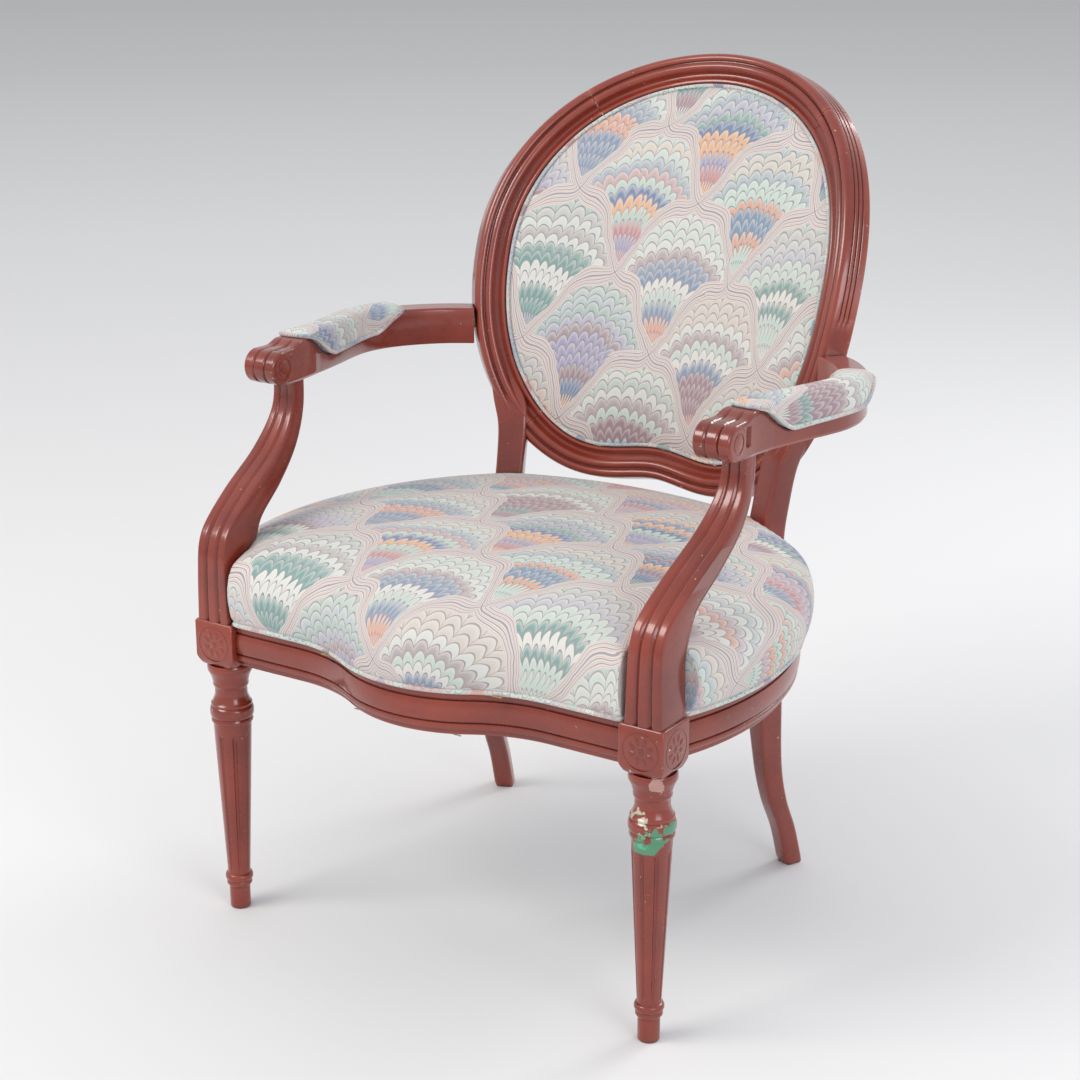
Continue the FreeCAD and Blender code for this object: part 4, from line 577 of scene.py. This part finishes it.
# Arms
# Each arm runs from a rolled hand with three lobes over its support, bows out, and turns in to
# a square block jointed to the side of the oval.
HAND_X, HAND_Y, HAND_Z, HAND_HALF = 295, 103, 641, 22
LOBE_EDGE = 7.6
NOTCH_Y, NOTCH_Z, NOTCH_DEPTH = (123, 132), (633, 653), 3.6
BED_START, BED_END = 150, 380
arm_rows = [(0.0, 295.0, 103.0), (0.105, 296.9, 145.0), (0.22, 303.5, 190.0),
            (0.335, 312.7, 235.0), (0.449, 323.4, 280.0), (0.526, 327.8, 310.0),
            (0.602, 325.9, 340.0), (0.68, 316.8, 370.0), (0.763, 300.7, 400.0),
            (0.856, 276.9, 430.0), (0.955, 247.5, 455.0)]


def arm_place(share):
    """Middle of the arm in plan, the direction across it, and its bottom and top."""
    share = min(max(share, 0.0), 0.954)
    x, y = smooth(arm_rows, share)
    x1, y1 = smooth(arm_rows, min(share + 0.003, 0.9545))
    x0, y0 = smooth(arm_rows, max(share - 0.003, 0.0))
    length = math.hypot(x1 - x0, y1 - y0)
    low = 619.5 + (608.8 - 619.5) * share
    return x, y, (y1 - y0) / length, -(x1 - x0) / length, low, low + 45 + (1 - share) * 3


def arm_share(y):
    low, high = 0.0, 0.954
    for _ in range(30):
        middle = (low + high) / 2
        low, high = (middle, high) if smooth(arm_rows, middle)[1] < y else (low, middle)
    return low


def arm_at(share, a, z):
    x, y, ax, ay, _, _ = arm_place(share)
    return at(x + ax * a, y + ay * a, z)


def pad_line(y):
    """Height of the bed cut for the pad, which rises at its two ends."""
    front = min(1, max(0, (212 - y) / 62))
    rear = min(1, max(0, (y - 322) / 58))
    front, rear = (s * s * (3 - 2 * s) for s in (front, rear))
    return 635.4 + 31 * front + 21 * rear


arm = Shape()
rings = []
first, last = arm_share(106), 0.945
EASE = 3.5


def eased(a, w):
    """Drop of a rounded edge at a place across a piece of half width w."""
    over = max(0, abs(a) - (w - EASE)) / EASE
    return EASE * (1 - math.sqrt(1 - min(1, over) ** 2))


for step in range(161):
    share = first + (last - first) * step / 160
    x, y, ax, ay, low, high = arm_place(share)
    w = (43 + (34 - 43) * min(1, share * 5)) / 2
    rise = min(1, max(0, (y - 122) / 22))
    grooves = 2.6 * (1 - rise ** 2)
    if y < 144:
        high = 660.6 + (high - 660.6) * rise * rise * (3 - 2 * rise)
    elif BED_START < y < BED_END:
        high = min(high, pad_line(y))
    ring = []
    for k in range(49):
        a = w * (1 - k / 24)
        groove = grooves * max(0, 1 - abs(abs(a) - LOBE_EDGE) / 2.3) ** 1.4
        ring.append(arm_at(share, a, high - (eased(a, w) + groove)))
    for k in range(17):
        a = w * (k / 8 - 1)
        ring.append(arm_at(share, a, low + eased(a, w)))
    for k in range(1, 20):
        z = low + EASE + (high - low - 2 * EASE) * k / 20
        in_notch = NOTCH_Y[0] < y < NOTCH_Y[1] and NOTCH_Z[0] < z < NOTCH_Z[1]
        ring.append(arm_at(share, w - NOTCH_DEPTH * in_notch, z))
    rings.append(ring)
arm.rings(rings)


def hand_ring(x, radius, count):
    turns = [2 * math.pi * k / count for k in range(count)]
    return [at(x, HAND_Y + radius * math.cos(turn), HAND_Z + radius * math.sin(turn))
            for turn in turns]


rings = []
for step in range(61):
    a = -HAND_HALF + 2 * HAND_HALF * step / 60
    near = abs(abs(a) - LOBE_EDGE)
    edge = max(0, abs(a) - 19.2) / 2.8
    r = 19.6 - 2.6 * max(0, 1 - near / 2.4) ** 1.5 - 3.0 * edge ** 2
    rings.append(hand_ring(HAND_X + a, r, 72))
arm.rings(rings)
# Each end of the roll has a raised boss inside a sunk ring.
for side in (-1, 1):
    rings = []
    for r, lift in ((16.6, 0.0), (12.6, 0.5), (11.6, 0.4), (10.9, -1.5), (9.3, -1.5),
                    (8.6, 0.4), (6.0, 0.7), (3.0, 0.9), (0.4, 0.9)):
        ring = hand_ring(HAND_X + side * (HAND_HALF + lift), r, 48)
        rings.append(ring if side > 0 else list(reversed(ring)))
    arm.rings(rings, caps=False)
pair(arm, "arm", paint, sharp=34)

# Arm supports
# Each support stands on the leg block, leans back in an S and narrows to the arm. Its front is
# cut into three reeds by two grooves, which run on from the lobes of the hand.
REED_EASE, GROOVE_DEPTH = 3.0, 3.4
support_rows = [(0.0, 0.0, 0.0, 0.0), (0.244, 0.007, 0.2, -0.02), (0.364, 0.058, 0.26, -0.24),
                (0.444, 0.144, 0.27, -0.19), (0.564, 0.43, 0.24, -0.1),
                (0.704, 0.76, 0.33, 0.67), (0.864, 0.965, 0.74, 1.05), (1.05, 1.0, 1.0, 1.0)]
rings = []
for step in range(81):
    share = 1.05 * step / 80
    back, narrow, thin = smooth(support_rows, min(share, 1.0499))
    x, y, z = 284.5 + 13.5 * back, 142.0 * back, 369 + (618.6 - 369) * share
    w = (45 + (27 - 45) * narrow) / 2
    h = (51 + (24 - 51) * thin) / 2
    s = 1 - narrow * 0.35
    front = [(w, -h + s * 3.6)]
    for k in range(1, 25):
        a = w * (1 - k / 24)
        edge = max(0, a - (w - 3.2)) / 3.2
        dip = REED_EASE * (1 - math.sqrt(1 - min(1, edge) ** 2))
        dip += GROOVE_DEPTH * max(0, 1 - abs(a - w * 0.37) / (w * 0.17)) ** 1.3
        front.append((a, -h + s * dip))
    rear = [(w - 2.5, h), (w - 0.6, h - 0.8), (w, h - 2.6)]
    outer = [(w, h - s * 6.0), (w - s * 1.1, h - s * 6.9), (w, h - s * 7.8)]
    half = rear + outer + front
    outline = half + [(-a, b) for a, b in reversed(half[:-1])]
    rings.append([at(x + a, y + b, z) for a, b in outline])
pair(Shape().rings(rings), "arm_support", paint, sharp=34)

# Rear rail
# Bent beech behind the seat, painted like the rest and tenoned between the two posts.
REAR_Y = -33.06
outline = rounded([(484.5, 317), (510.5, 317), (510.5, 367), (484.5, 367)], 2.5, 3)
rings = []
for step in range(41):
    turn = math.radians(-20.4 + 40.8 * step / 40)
    rings.append([at(r * math.sin(turn), REAR_Y + r * math.cos(turn), z) for r, z in outline])
rear_rail = Shape().rings(rings).make("seat_rail_rear", paint)
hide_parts("seat_rail_rear")


# Printed cloth
# Cotton printed like a combed marbled paper: fans of scalloped lobes in a half-drop lattice of
# pointed cells 176 mm wide and 190 mm high, with veins about 3 mm apart between them. Matt and
# slightly fuzzy, as plain-woven cotton is. Its places are in metres, the pattern in mm.
CELL_WIDE, CELL_HIGH = 176.0, 190.0
WAVE, WANDER, LEAN = 14.0, 20.0, -0.22
FILE_TURN, LOBE_ROWS, VEIN_BAND, VEIN = 0.128, 13.0, 8.7, 2.9
dyes = ["bcd3c8", "c98f92", "e8b48c", "7089ad", "a7a3c0", "7aa39f", "a48892", "dfe0da",
        "c4d8cf", "dba894", "8199b4", "c3adb8"]


def printed_cloth(name, size=1.0):
    made, tree = material(name)

    def from_nearest(value, period):
        """Distance from the nearest multiple of a period, and that multiple's number."""
        number = add(tree, "ROUND", add(tree, "DIVIDE", value, period))
        return add(tree, "SUBTRACT", value, add(tree, "MULTIPLY", number, period)), number

    def choose(switch, yes, no):
        return add(tree, "MULTIPLY_ADD", switch, add(tree, "SUBTRACT", yes, no), no)

    def drifted(noise, axis):
        """A place in millimetres, moved a little by noise as wet colour moves."""
        return add(tree, "MULTIPLY_ADD", add(tree, "SUBTRACT", noise, 0.5), WANDER,
                   add(tree, "MULTIPLY", axis, 1000.0 * size))

    def share(across, up):
        """How far a place is from its cell's middle, with 1 on the cell's edge."""
        return add(tree, "ADD",
                   add(tree, "DIVIDE", add(tree, "ABSOLUTE", across), CELL_WIDE / 2),
                   add(tree, "DIVIDE", add(tree, "ABSOLUTE", up), CELL_HIGH / 2))

    place = add(tree, "UVMap", uv_map="cloth")
    wander = add(tree, "TexNoise", {"Vector": place, "Scale": every(62.5), "Detail": 2.0},
                 out="Color")
    drift_across, drift_up, _ = add(tree, "SeparateXYZ", wander).node.outputs
    cloth_across, cloth_up, _ = add(tree, "SeparateXYZ", place).node.outputs
    v = drifted(drift_up, cloth_up)
    u = add(tree, "MULTIPLY_ADD", v, LEAN, drifted(drift_across, cloth_across))
    curve = add(tree, "COSINE", add(tree, "MULTIPLY", u, 4 * math.pi / CELL_WIDE))
    w = add(tree, "MULTIPLY_ADD", curve, WAVE, v)
    ax, ai = from_nearest(u, CELL_WIDE)
    ay, aj = from_nearest(w, CELL_HIGH)
    bx, bi = from_nearest(add(tree, "SUBTRACT", u, CELL_WIDE / 2), CELL_WIDE)
    by, bj = from_nearest(add(tree, "SUBTRACT", w, CELL_HIGH / 2), CELL_HIGH)
    far_a, far_b = share(ax, ay), share(bx, by)
    first = add(tree, "LESS_THAN", far_a, far_b)
    x, y = choose(first, ax, bx), choose(first, ay, by)
    far = add(tree, "MINIMUM", far_a, far_b)
    column = choose(first, ai, add(tree, "ADD", bi, 0.5))
    line = choose(first, aj, add(tree, "ADD", bj, 0.5))
    # Each fan opens from the foot of its cell, in files of arched lobes.
    up = add(tree, "ADD", add(tree, "MULTIPLY_ADD", curve, -WAVE, y), CELL_HIGH / 2 + WAVE)
    wide = add(tree, "MULTIPLY", x, 1.25)
    reach = add(tree, "SQRT", add(tree, "ADD", add(tree, "MULTIPLY", wide, wide),
                                  add(tree, "MULTIPLY", up, up)))
    file = add(tree, "DIVIDE", add(tree, "ARCTAN2", x, up), FILE_TURN)
    across = add(tree, "SUBTRACT", add(tree, "FRACT", file), 0.5)
    arch = add(tree, "MULTIPLY", add(tree, "MULTIPLY", across, across), 3.2)
    spacing = add(tree, "POWER", add(tree, "DIVIDE", reach, CELL_HIGH), 1.45)
    rows = add(tree, "ADD", add(tree, "MULTIPLY", spacing, LOBE_ROWS), arch)
    row, level = add(tree, "FLOOR", rows), add(tree, "FRACT", rows)
    # Every cell has its own run of dyes, paler towards the rim of the fan.
    cell = add(tree, "CombineXYZ", column, line, 3.7)
    family = add(tree, "TexWhiteNoise", {"Vector": cell})
    lobe = add(tree, "CombineXYZ", column, line, row)
    pick = add(tree, "MULTIPLY", add(tree, "TexWhiteNoise", {"Vector": lobe}), 0.4)
    pick = add(tree, "FRACT", add(tree, "ADD", pick, family))
    tint = add(tree, "ValToRGB", pick, banded=True,
               stops=[(i / len(dyes), code) for i, code in enumerate(dyes)])
    pale = add(tree, "MapRange", row, 5.0, 9.0, 0.0, 0.72)
    tint = add(tree, "Mix", {0: pale, 6: tint, 7: colour("d3dcd5")}, **COLOURS)
    shine = add(tree, "MapRange", level, 0.30, 0.78, 0.0, 0.5)
    tint = add(tree, "Mix", {0: shine, 6: tint, 7: colour("e9e6df")}, **COLOURS)
    outline = add(tree, "ValToRGB", family, banded=True, stops=[
        (0.0, "6d7681"), (0.3, "8f7780"), (0.6, "57777a"), (0.8, "8d8795")])
    rim = add(tree, "MULTIPLY", add(tree, "GREATER_THAN", level, 0.84), 0.72)
    tint = add(tree, "Mix", {0: rim, 6: tint, 7: outline}, **COLOURS)
    ray = add(tree, "GREATER_THAN", add(tree, "ABSOLUTE", across), 0.46)
    tint = add(tree, "Mix", {0: add(tree, "MULTIPLY", ray, 0.3), 6: tint, 7: outline},
               **COLOURS)
    # Veins run side by side along the edges of the cells.
    from_edge = add(tree, "MULTIPLY", add(tree, "SUBTRACT", 1.0, far), 64.0)
    vein = add(tree, "FRACT", add(tree, "DIVIDE", from_edge, VEIN))
    veins = add(tree, "ValToRGB", vein, banded=True, stops=[
        (0.0, "a39ca6"), (0.26, "e2dbd4"), (0.62, "d2b5a8"), (0.78, "e4ddd7")])
    tint = add(tree, "Mix", {0: add(tree, "LESS_THAN", from_edge, VEIN_BAND), 6: tint,
                             7: veins}, **COLOURS)
    # The threads are drawn 0.7 mm apart, twice as coarse as they are, to show at all.
    weave = add(tree, "TexNoise", {"Vector": place, "Scale": every(0.7143), "Detail": 1.0})
    fading = add(tree, "TexNoise", {"Vector": place, "Scale": every(142.9), "Detail": 3.0})
    tint = add(tree, "Mix", {0: add(tree, "MULTIPLY", fading, 0.22), 6: tint,
                             7: colour("c9bdb4")}, **COLOURS)
    tint = add(tree, "Mix", {0: 0.14, 6: tint, 7: colour("b9b6b6")}, blend_type="MULTIPLY",
               **COLOURS)
    bump = add(tree, "Bump", {"Strength": 0.25, "Distance": 0.4 * MM, "Height": weave})
    add(tree, "OutputMaterial", add(tree, "BsdfPrincipled", {
        "Base Color": tint, "Roughness": 0.82, "Normal": bump,
        "Sheen Weight": 0.15, "Specular IOR Level": 0.3}))
    return made


cloth = printed_cloth("combed_print_cotton")
cord_cloth = printed_cloth("combed_print_piping", 1.6)

# Hidden materials
# Planed bare beech, bright zinc plating on steel, hairy jute and thin black cotton, each of two
# close colours. The features are the figure of the wood, scratches and yarns, in millimetres.


def mottled(name, dark, light, feature, roughness, stretch=(1, 1, 1), metal=0.0):
    made, tree = material(name)
    place = add(tree, "TexCoord", out="Object")
    spread = add(tree, "Mapping", {"Vector": place, "Scale": stretch})
    mottle = add(tree, "TexNoise", {"Vector": spread, "Scale": every(feature), "Detail": 5.0})
    tone = add(tree, "ValToRGB", mottle, stops=[(0.35, dark), (0.65, light)])
    bump = add(tree, "Bump", {"Strength": 0.2, "Distance": 0.5 * MM, "Height": mottle})
    add(tree, "OutputMaterial", add(tree, "BsdfPrincipled", {
        "Base Color": tone, "Roughness": roughness, "Metallic": metal, "Normal": bump}))
    return made


beech = mottled("bare_beech", "b98f62", "cba577", 71.43, 0.6, (1, 1, 7))
steel = mottled("zinc_plated_steel", "8e9092", "a9abad", 3.333, 0.35, metal=1.0)
jute = mottled("jute_webbing", "8d7148", "b3956a", 2.381, 0.95)
black_cloth = mottled("black_dust_cloth", "17171a", "26262a", 1.429, 0.95)

# Seat
# A sprung and stuffed seat over jute webbing and burlap. The cloth comes down to the rails in a
# soft bulge, is cut round the arm supports and posts, and is finished with piping.
FRONT_CORNER, CORNER_CUT = 256.5, 47
REAR_ARC, REAR_HALF = 510.46, 205.2
SEAT_HALF = 329
SEAT_MIDDLE = np.array([0.0, 203.5])
base = [(x, y) for x, y, _ in reversed(front_line) if abs(x) <= FRONT_CORNER]
base += [(-FRONT_CORNER - CORNER_CUT * k / 12, FRONT_FACE + CORNER_CUT * k / 12)
         for k in range(1, 12)]
side_turns = [-0.3815 + (0.865 + 0.3815) * k / 90 for k in range(91)]
side_points = [(side_x + side_r * math.cos(t), side_y + side_r * math.sin(t))
               for t in side_turns]
base += [(-x, y) for x, y in side_points]
rear_turn = math.asin(REAR_HALF / REAR_ARC)
base += [(REAR_ARC * math.sin(t), REAR_Y + REAR_ARC * math.cos(t))
         for t in [-rear_turn + 2 * rear_turn * k / 80 for k in range(1, 80)]]
base += list(reversed(side_points))
base += [(FRONT_CORNER + CORNER_CUT * (1 - k / 12), FRONT_FACE + CORNER_CUT * (1 - k / 12))
         for k in range(1, 12)]
base = np.array(base)


def even(points, count):
    """A closed line read off at even steps."""
    closed = np.vstack([points, points[:1]])
    gaps = np.hypot(*np.diff(closed, axis=0).T)
    along = np.concatenate([[0], np.cumsum(gaps)])
    marks = np.linspace(0, along[-1], count, endpoint=False)
    return np.column_stack([np.interp(marks, along, closed[:, k]) for k in (0, 1)])


base = even(base, 480)


def soften(points, reach):
    """The closed line with its corners eased over a reach, in steps of its points."""
    reach = int(reach)
    kernel = np.hanning(2 * reach + 3)[1:-1]
    kernel /= kernel.sum()
    out = np.zeros_like(points)
    for offset, weight in zip(range(-reach, reach + 1), kernel):
        out += weight * np.roll(points, offset, axis=0)
    return out


SUPPORT_INNER, SUPPORT_REAR = 257.4, 28.6
POST_COS, POST_SIN = 0.9063, 0.4226


def clear(points, room):
    """Keeps the cloth off the arm supports' corners and off the rear posts."""
    out = points.copy()
    for p in out:
        side = math.copysign(1, p[0])
        x = abs(p[0])
        in_x, in_y = x - (SUPPORT_INNER - room), (SUPPORT_REAR + room) - p[1]
        if in_x > 0 and in_y > 0:
            if in_x < in_y:
                p[0] = side * (SUPPORT_INNER - room)
            else:
                p[1] = SUPPORT_REAR + room
        # Places in the post's own turned directions, past its inner and front faces.
        a = (x - POST[0]) * POST_COS - (p[1] - POST[1]) * POST_SIN
        b = (x - POST[0]) * POST_SIN + (p[1] - POST[1]) * POST_COS
        in_a, in_b = a + 20.5 + room, b + 19 + room
        if in_a > 0 and in_b > 0:
            move_a = in_a if in_a < in_b else 0
            move_b = 0 if move_a else in_b
            p[0] -= side * (move_a * POST_COS + move_b * POST_SIN)
            p[1] -= -move_a * POST_SIN + move_b * POST_COS
    return out


def seat_line(inset, reach=4, room=0.0):
    """The seat's outline scaled about its middle, eased and kept clear of the frame."""
    line = SEAT_MIDDLE + (base - SEAT_MIDDLE) * (1 - inset / SEAT_HALF)
    return clear(soften(line, reach), room)


def to_row(points, z):
    return [at(x, y, z) for x, y in points]


# Rows of the stuffed shape: share of the way up, height, and inset from the seat's outline.
SHOULDER = 441
dome = [(0.0, 367.6, 3.0), (0.06, 370, 1.0), (0.12, 376, -6.0), (0.2, 388, -11.0),
        (0.28, 402, -13.5), (0.36, 417, -13.0), (0.43, 430, -8.5), (0.48, 440, -1.0),
        (0.53, 448, 12.0), (0.58, 455, 30.0), (0.64, 462, 55.0), (0.7, 468, 88.0),
        (0.77, 473, 130.0), (0.84, 476.4, 180.0), (0.92, 478, 245.0), (1.0, 478.6, 322.0)]
rings, places = [], []
shoulder = seat_line(0.0, 6)
outward = shoulder - np.roll(shoulder, 1, axis=0)
outward = np.column_stack([outward[:, 1], -outward[:, 0]])
outward /= np.maximum(np.hypot(*outward.T), 1e-6)[:, None]
outward = soften(outward, 6)
if ((shoulder - SEAT_MIDDLE) * outward).sum() < 0:
    outward = -outward
for step in range(73):
    z, inset = smooth(dome, min(step / 72, 0.9999))
    line = seat_line(inset, 3 + max(0, inset) * 0.2)
    on_cloth = shoulder + outward * (SHOULDER - z) if z < SHOULDER else line
    rings.append(to_row(line, z))
    places.append([(x * MM, y * MM) for x, y in on_cloth])
seat = Shape().rings(rings, uv=places).make("seat_cover", cloth, 60, True)
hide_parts("seat_cover", "seat_pad")

WELT = 3.1
welt_line = seat_line(-2.2, 2, 1.0)
direction = np.roll(welt_line, -1, axis=0) - np.roll(welt_line, 1, axis=0)
direction /= np.maximum(np.hypot(*direction.T), 1e-6)[:, None]
rings, places, along = [], [], 0.0
for k, (x, y) in enumerate(welt_line):
    nx, ny = direction[k][1], -direction[k][0]
    along += np.hypot(*(welt_line[k] - welt_line[k - 1]))
    turns = [2 * math.pi * side / 10 for side in range(10)]
    rings.append([at(x + nx * WELT * math.cos(turn), y + ny * WELT * math.cos(turn),
                     370.2 + WELT * math.sin(turn)) for turn in turns])
    places.append([(along * MM, side * 0.0019) for side in range(10)])
welt = Shape().rings(rings, looped=True, uv=places).make("seat_welt", cord_cloth, 60, True)
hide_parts("seat_welt")


for name, points, z, surface in (
        ("seat_dust_cover", seat_line(16, 2, 1.0), 316.4, black_cloth),
        ("seat_burlap", seat_line(12, 2, 2.0), 370.9, jute)):
    sheet = object_from(name, to_row(points, z), [tuple(range(len(points)))], surface)
    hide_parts(name)
    x, y = points[:, 0], points[:, 1]
    wide, long = np.ptp(x) * MM, np.ptp(y) * MM

# Straps of 50 mm webbing cross under the burlap, those from side to side on top.
STRAP_HALF, STRAP_SPACING, STRAP_SHORT = 25, 62.5, 14
straps = Shape()
for index in range(4):
    x = (index - 1.5) * STRAP_SPACING
    front = min(y for px, y in base if abs(px - x) < 30 and y < 100) + 16
    rear = REAR_Y + math.sqrt(REAR_ARC ** 2 - (abs(x) + STRAP_HALF) ** 2) - STRAP_SHORT
    straps.rings([[at(x + a, y, z) for a, z in (
        (-STRAP_HALF, 367.2), (STRAP_HALF, 367.2), (STRAP_HALF, 368.4), (-STRAP_HALF, 368.4))]
        for y in (front, rear)])
    y = SEAT_MIDDLE[1] + x
    wide = side_x + math.sqrt(side_r ** 2 - (abs(y - side_y) + STRAP_HALF) ** 2) - STRAP_SHORT
    straps.rings([[at(px, y + a, z) for a, z in (
        (-STRAP_HALF, 368.7), (-STRAP_HALF, 369.9), (STRAP_HALF, 369.9), (STRAP_HALF, 368.7))]
        for px in (-wide, wide)])
webbing = straps.make("seat_webbing", jute)
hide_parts("seat_webbing")

# Back upholstery
# A domed stuffed panel in the oval, piped round its edge, and a flat cloth panel behind; jute
# webbing and burlap carry the stuffing.
def oval_grid(depth, swell, inset, rows=48, around=240):
    """Rings from the rim to the middle of the oval, with cloth places across and up."""
    rings, places = [], []
    for row in range(rows + 1):
        share = max((1 - row / rows) ** 0.8, 0.004)
        deep = depth - swell * max(0, 1 - share ** 2.7) ** 0.6
        flat = [[way * share for way in oval_edge(2 * math.pi * k / around, inset)]
                for k in range(around)]
        rings.append([on_back(x, v, deep) for x, v in flat])
        places.append([(x * MM, v * MM) for x, v in flat])
    return rings, places


rings, places = oval_grid(9, 34, 1.2)
panel = Shape().rings(rings, uv=places).make("back_cover_front", cloth, 70, True)
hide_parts("back_cover_front", "back_pad")


for name, inset, depth, radius in (("back_welt_front", 2.6, 3.6, 2.4),
                                   ("back_welt_rear", 2.4, 31.6, 1.8)):
    rings, places = [], []
    for k in range(300):
        rings.append([on_oval(2 * math.pi * k / 300,
                              -inset + radius * math.cos(2 * math.pi * s / 10),
                              depth + radius * math.sin(2 * math.pi * s / 10))
                      for s in range(10)])
        places.append([(k * 0.0051, s * 0.0015) for s in range(10)])
    cord = Shape().rings(rings, looped=True, uv=places).make(name, cord_cloth, 60, True)
    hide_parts(name)


for name, depth, inset, surface, with_uv in (
        ("back_cover_rear", 30.2, 4.0, cloth, True), ("back_burlap", 9.6, 8.0, jute, False)):
    rings, places = oval_grid(depth, 0, inset, 12)
    mirrored_places = [[(-u + 0.4, v + 0.1) for u, v in spot] for spot in places]
    sheet = Shape().rings(rings, uv=mirrored_places).make(name, surface, 60, with_uv)
    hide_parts(name)
    wide, tall = (OVAL_HALF - inset) * 2 * MM, (OVAL_UP + OVAL_DOWN - inset * 2) * MM

straps = Shape()
for index in (-1, 0, 1):
    middle = index * 100
    edge = math.acos(min(1, (abs(middle) + STRAP_HALF) / 229))
    rise = WAVE_RISE * math.exp(-((middle / WAVE_WIDTH) ** 2)) + 6
    straps.rings([[on_back(middle + a, v, w) for a, w in (
        (-STRAP_HALF, 11.6), (STRAP_HALF, 11.6), (STRAP_HALF, 12.9), (-STRAP_HALF, 12.9))]
        for v in (-246 * math.sin(edge) + rise, 234 * math.sin(edge))])
    wide = 229 * math.sqrt(max(0, 1 - ((abs(middle) + STRAP_HALF) / 233) ** 2))
    straps.rings([[on_back(-wide + 2 * wide * step / 24, middle + a, w) for a, w in (
        (-STRAP_HALF, 10.2), (-STRAP_HALF, 11.4), (STRAP_HALF, 11.4), (STRAP_HALF, 10.2))]
        for step in range(25)])
webbing = straps.make("back_webbing", jute)
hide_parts("back_webbing")

# Arm pads
# Small stuffed pads laid in a shallow bed on each arm, covered in the print and piped round
# the foot.
PAD_HALF, PAD_ROUND, WELT_OUT, WELT_UP = 22.6, 17, 0.8, 1.4
pad = Shape()
rings, places, foot_left, foot_right = [], [], [], []
for step in range(81):
    share = step / 80
    y = 150.5 + 229.0 * (1 - math.cos(math.pi * share)) / 2
    s = arm_share(y)
    ends = min(1, max(0.01, (y - BED_START) / PAD_ROUND),
               max(0.01, (BED_END - y) / PAD_ROUND))
    ends = math.sqrt(1 - (1 - ends) ** 2)
    low = pad_line(y) + 0.4
    high = arm_place(s)[5] - 2.5 + 10.5 * ends
    high = max(high, low + 1.5)
    w = PAD_HALF * ends ** 0.8
    ring, spot = [], []
    for k in range(33):
        turn = math.pi * k / 32
        a = w * math.copysign(abs(math.cos(turn)) ** 0.62, math.cos(turn))
        z = low + (high - low) * math.sin(turn) ** 0.72
        ring.append(arm_at(s, a, z))
        spot.append(((k - 16) * 0.0033, y * MM))
    rings.append(ring)
    places.append(spot)
    foot_left.append(Vector(arm_at(s, w + WELT_OUT, low + WELT_UP)))
    foot_right.append(Vector(arm_at(s, -w - WELT_OUT, low + WELT_UP)))
pad.rings(rings, uv=places)
for piece in pair(pad, "arm_pad_cover", cloth, ["arm_pad_cover", "arm_pad"], 60, True):
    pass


CORD = 2.5 * MM
path = foot_left + list(reversed(foot_right))
rings, places, along = [], [], 0.0
for k, point in enumerate(path):
    way = (path[(k + 1) % len(path)] - path[k - 1]).normalized()
    side = way.cross(Vector((0, 0, 1))).normalized()
    rise = side.cross(way)
    along += (point - path[k - 1]).length
    rings.append([tuple(point + side * CORD * math.cos(2 * math.pi * s / 10)
                        + rise * CORD * math.sin(2 * math.pi * s / 10)) for s in range(10)])
    places.append([(along, s * 0.0016) for s in range(10)])
pair(Shape().rings(rings, looped=True, uv=places), "arm_pad_welt", cord_cloth, sharp=60,
     with_uv=True)

# Hidden frame parts
# Glued corner blocks with their screws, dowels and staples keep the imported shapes.
for node, surface in (
        ("corner_block_front_left", beech), ("corner_block_front_right", beech),
        ("corner_block_rear_left", beech), ("corner_block_rear_right", beech),
        ("back_frame_dowels", beech), ("arm_dowels", beech),
        ("corner_block_screws", steel), ("dust_cover_staples", steel)):
    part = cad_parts[node]
    part.data.materials.clear()
    part.data.materials.append(surface)
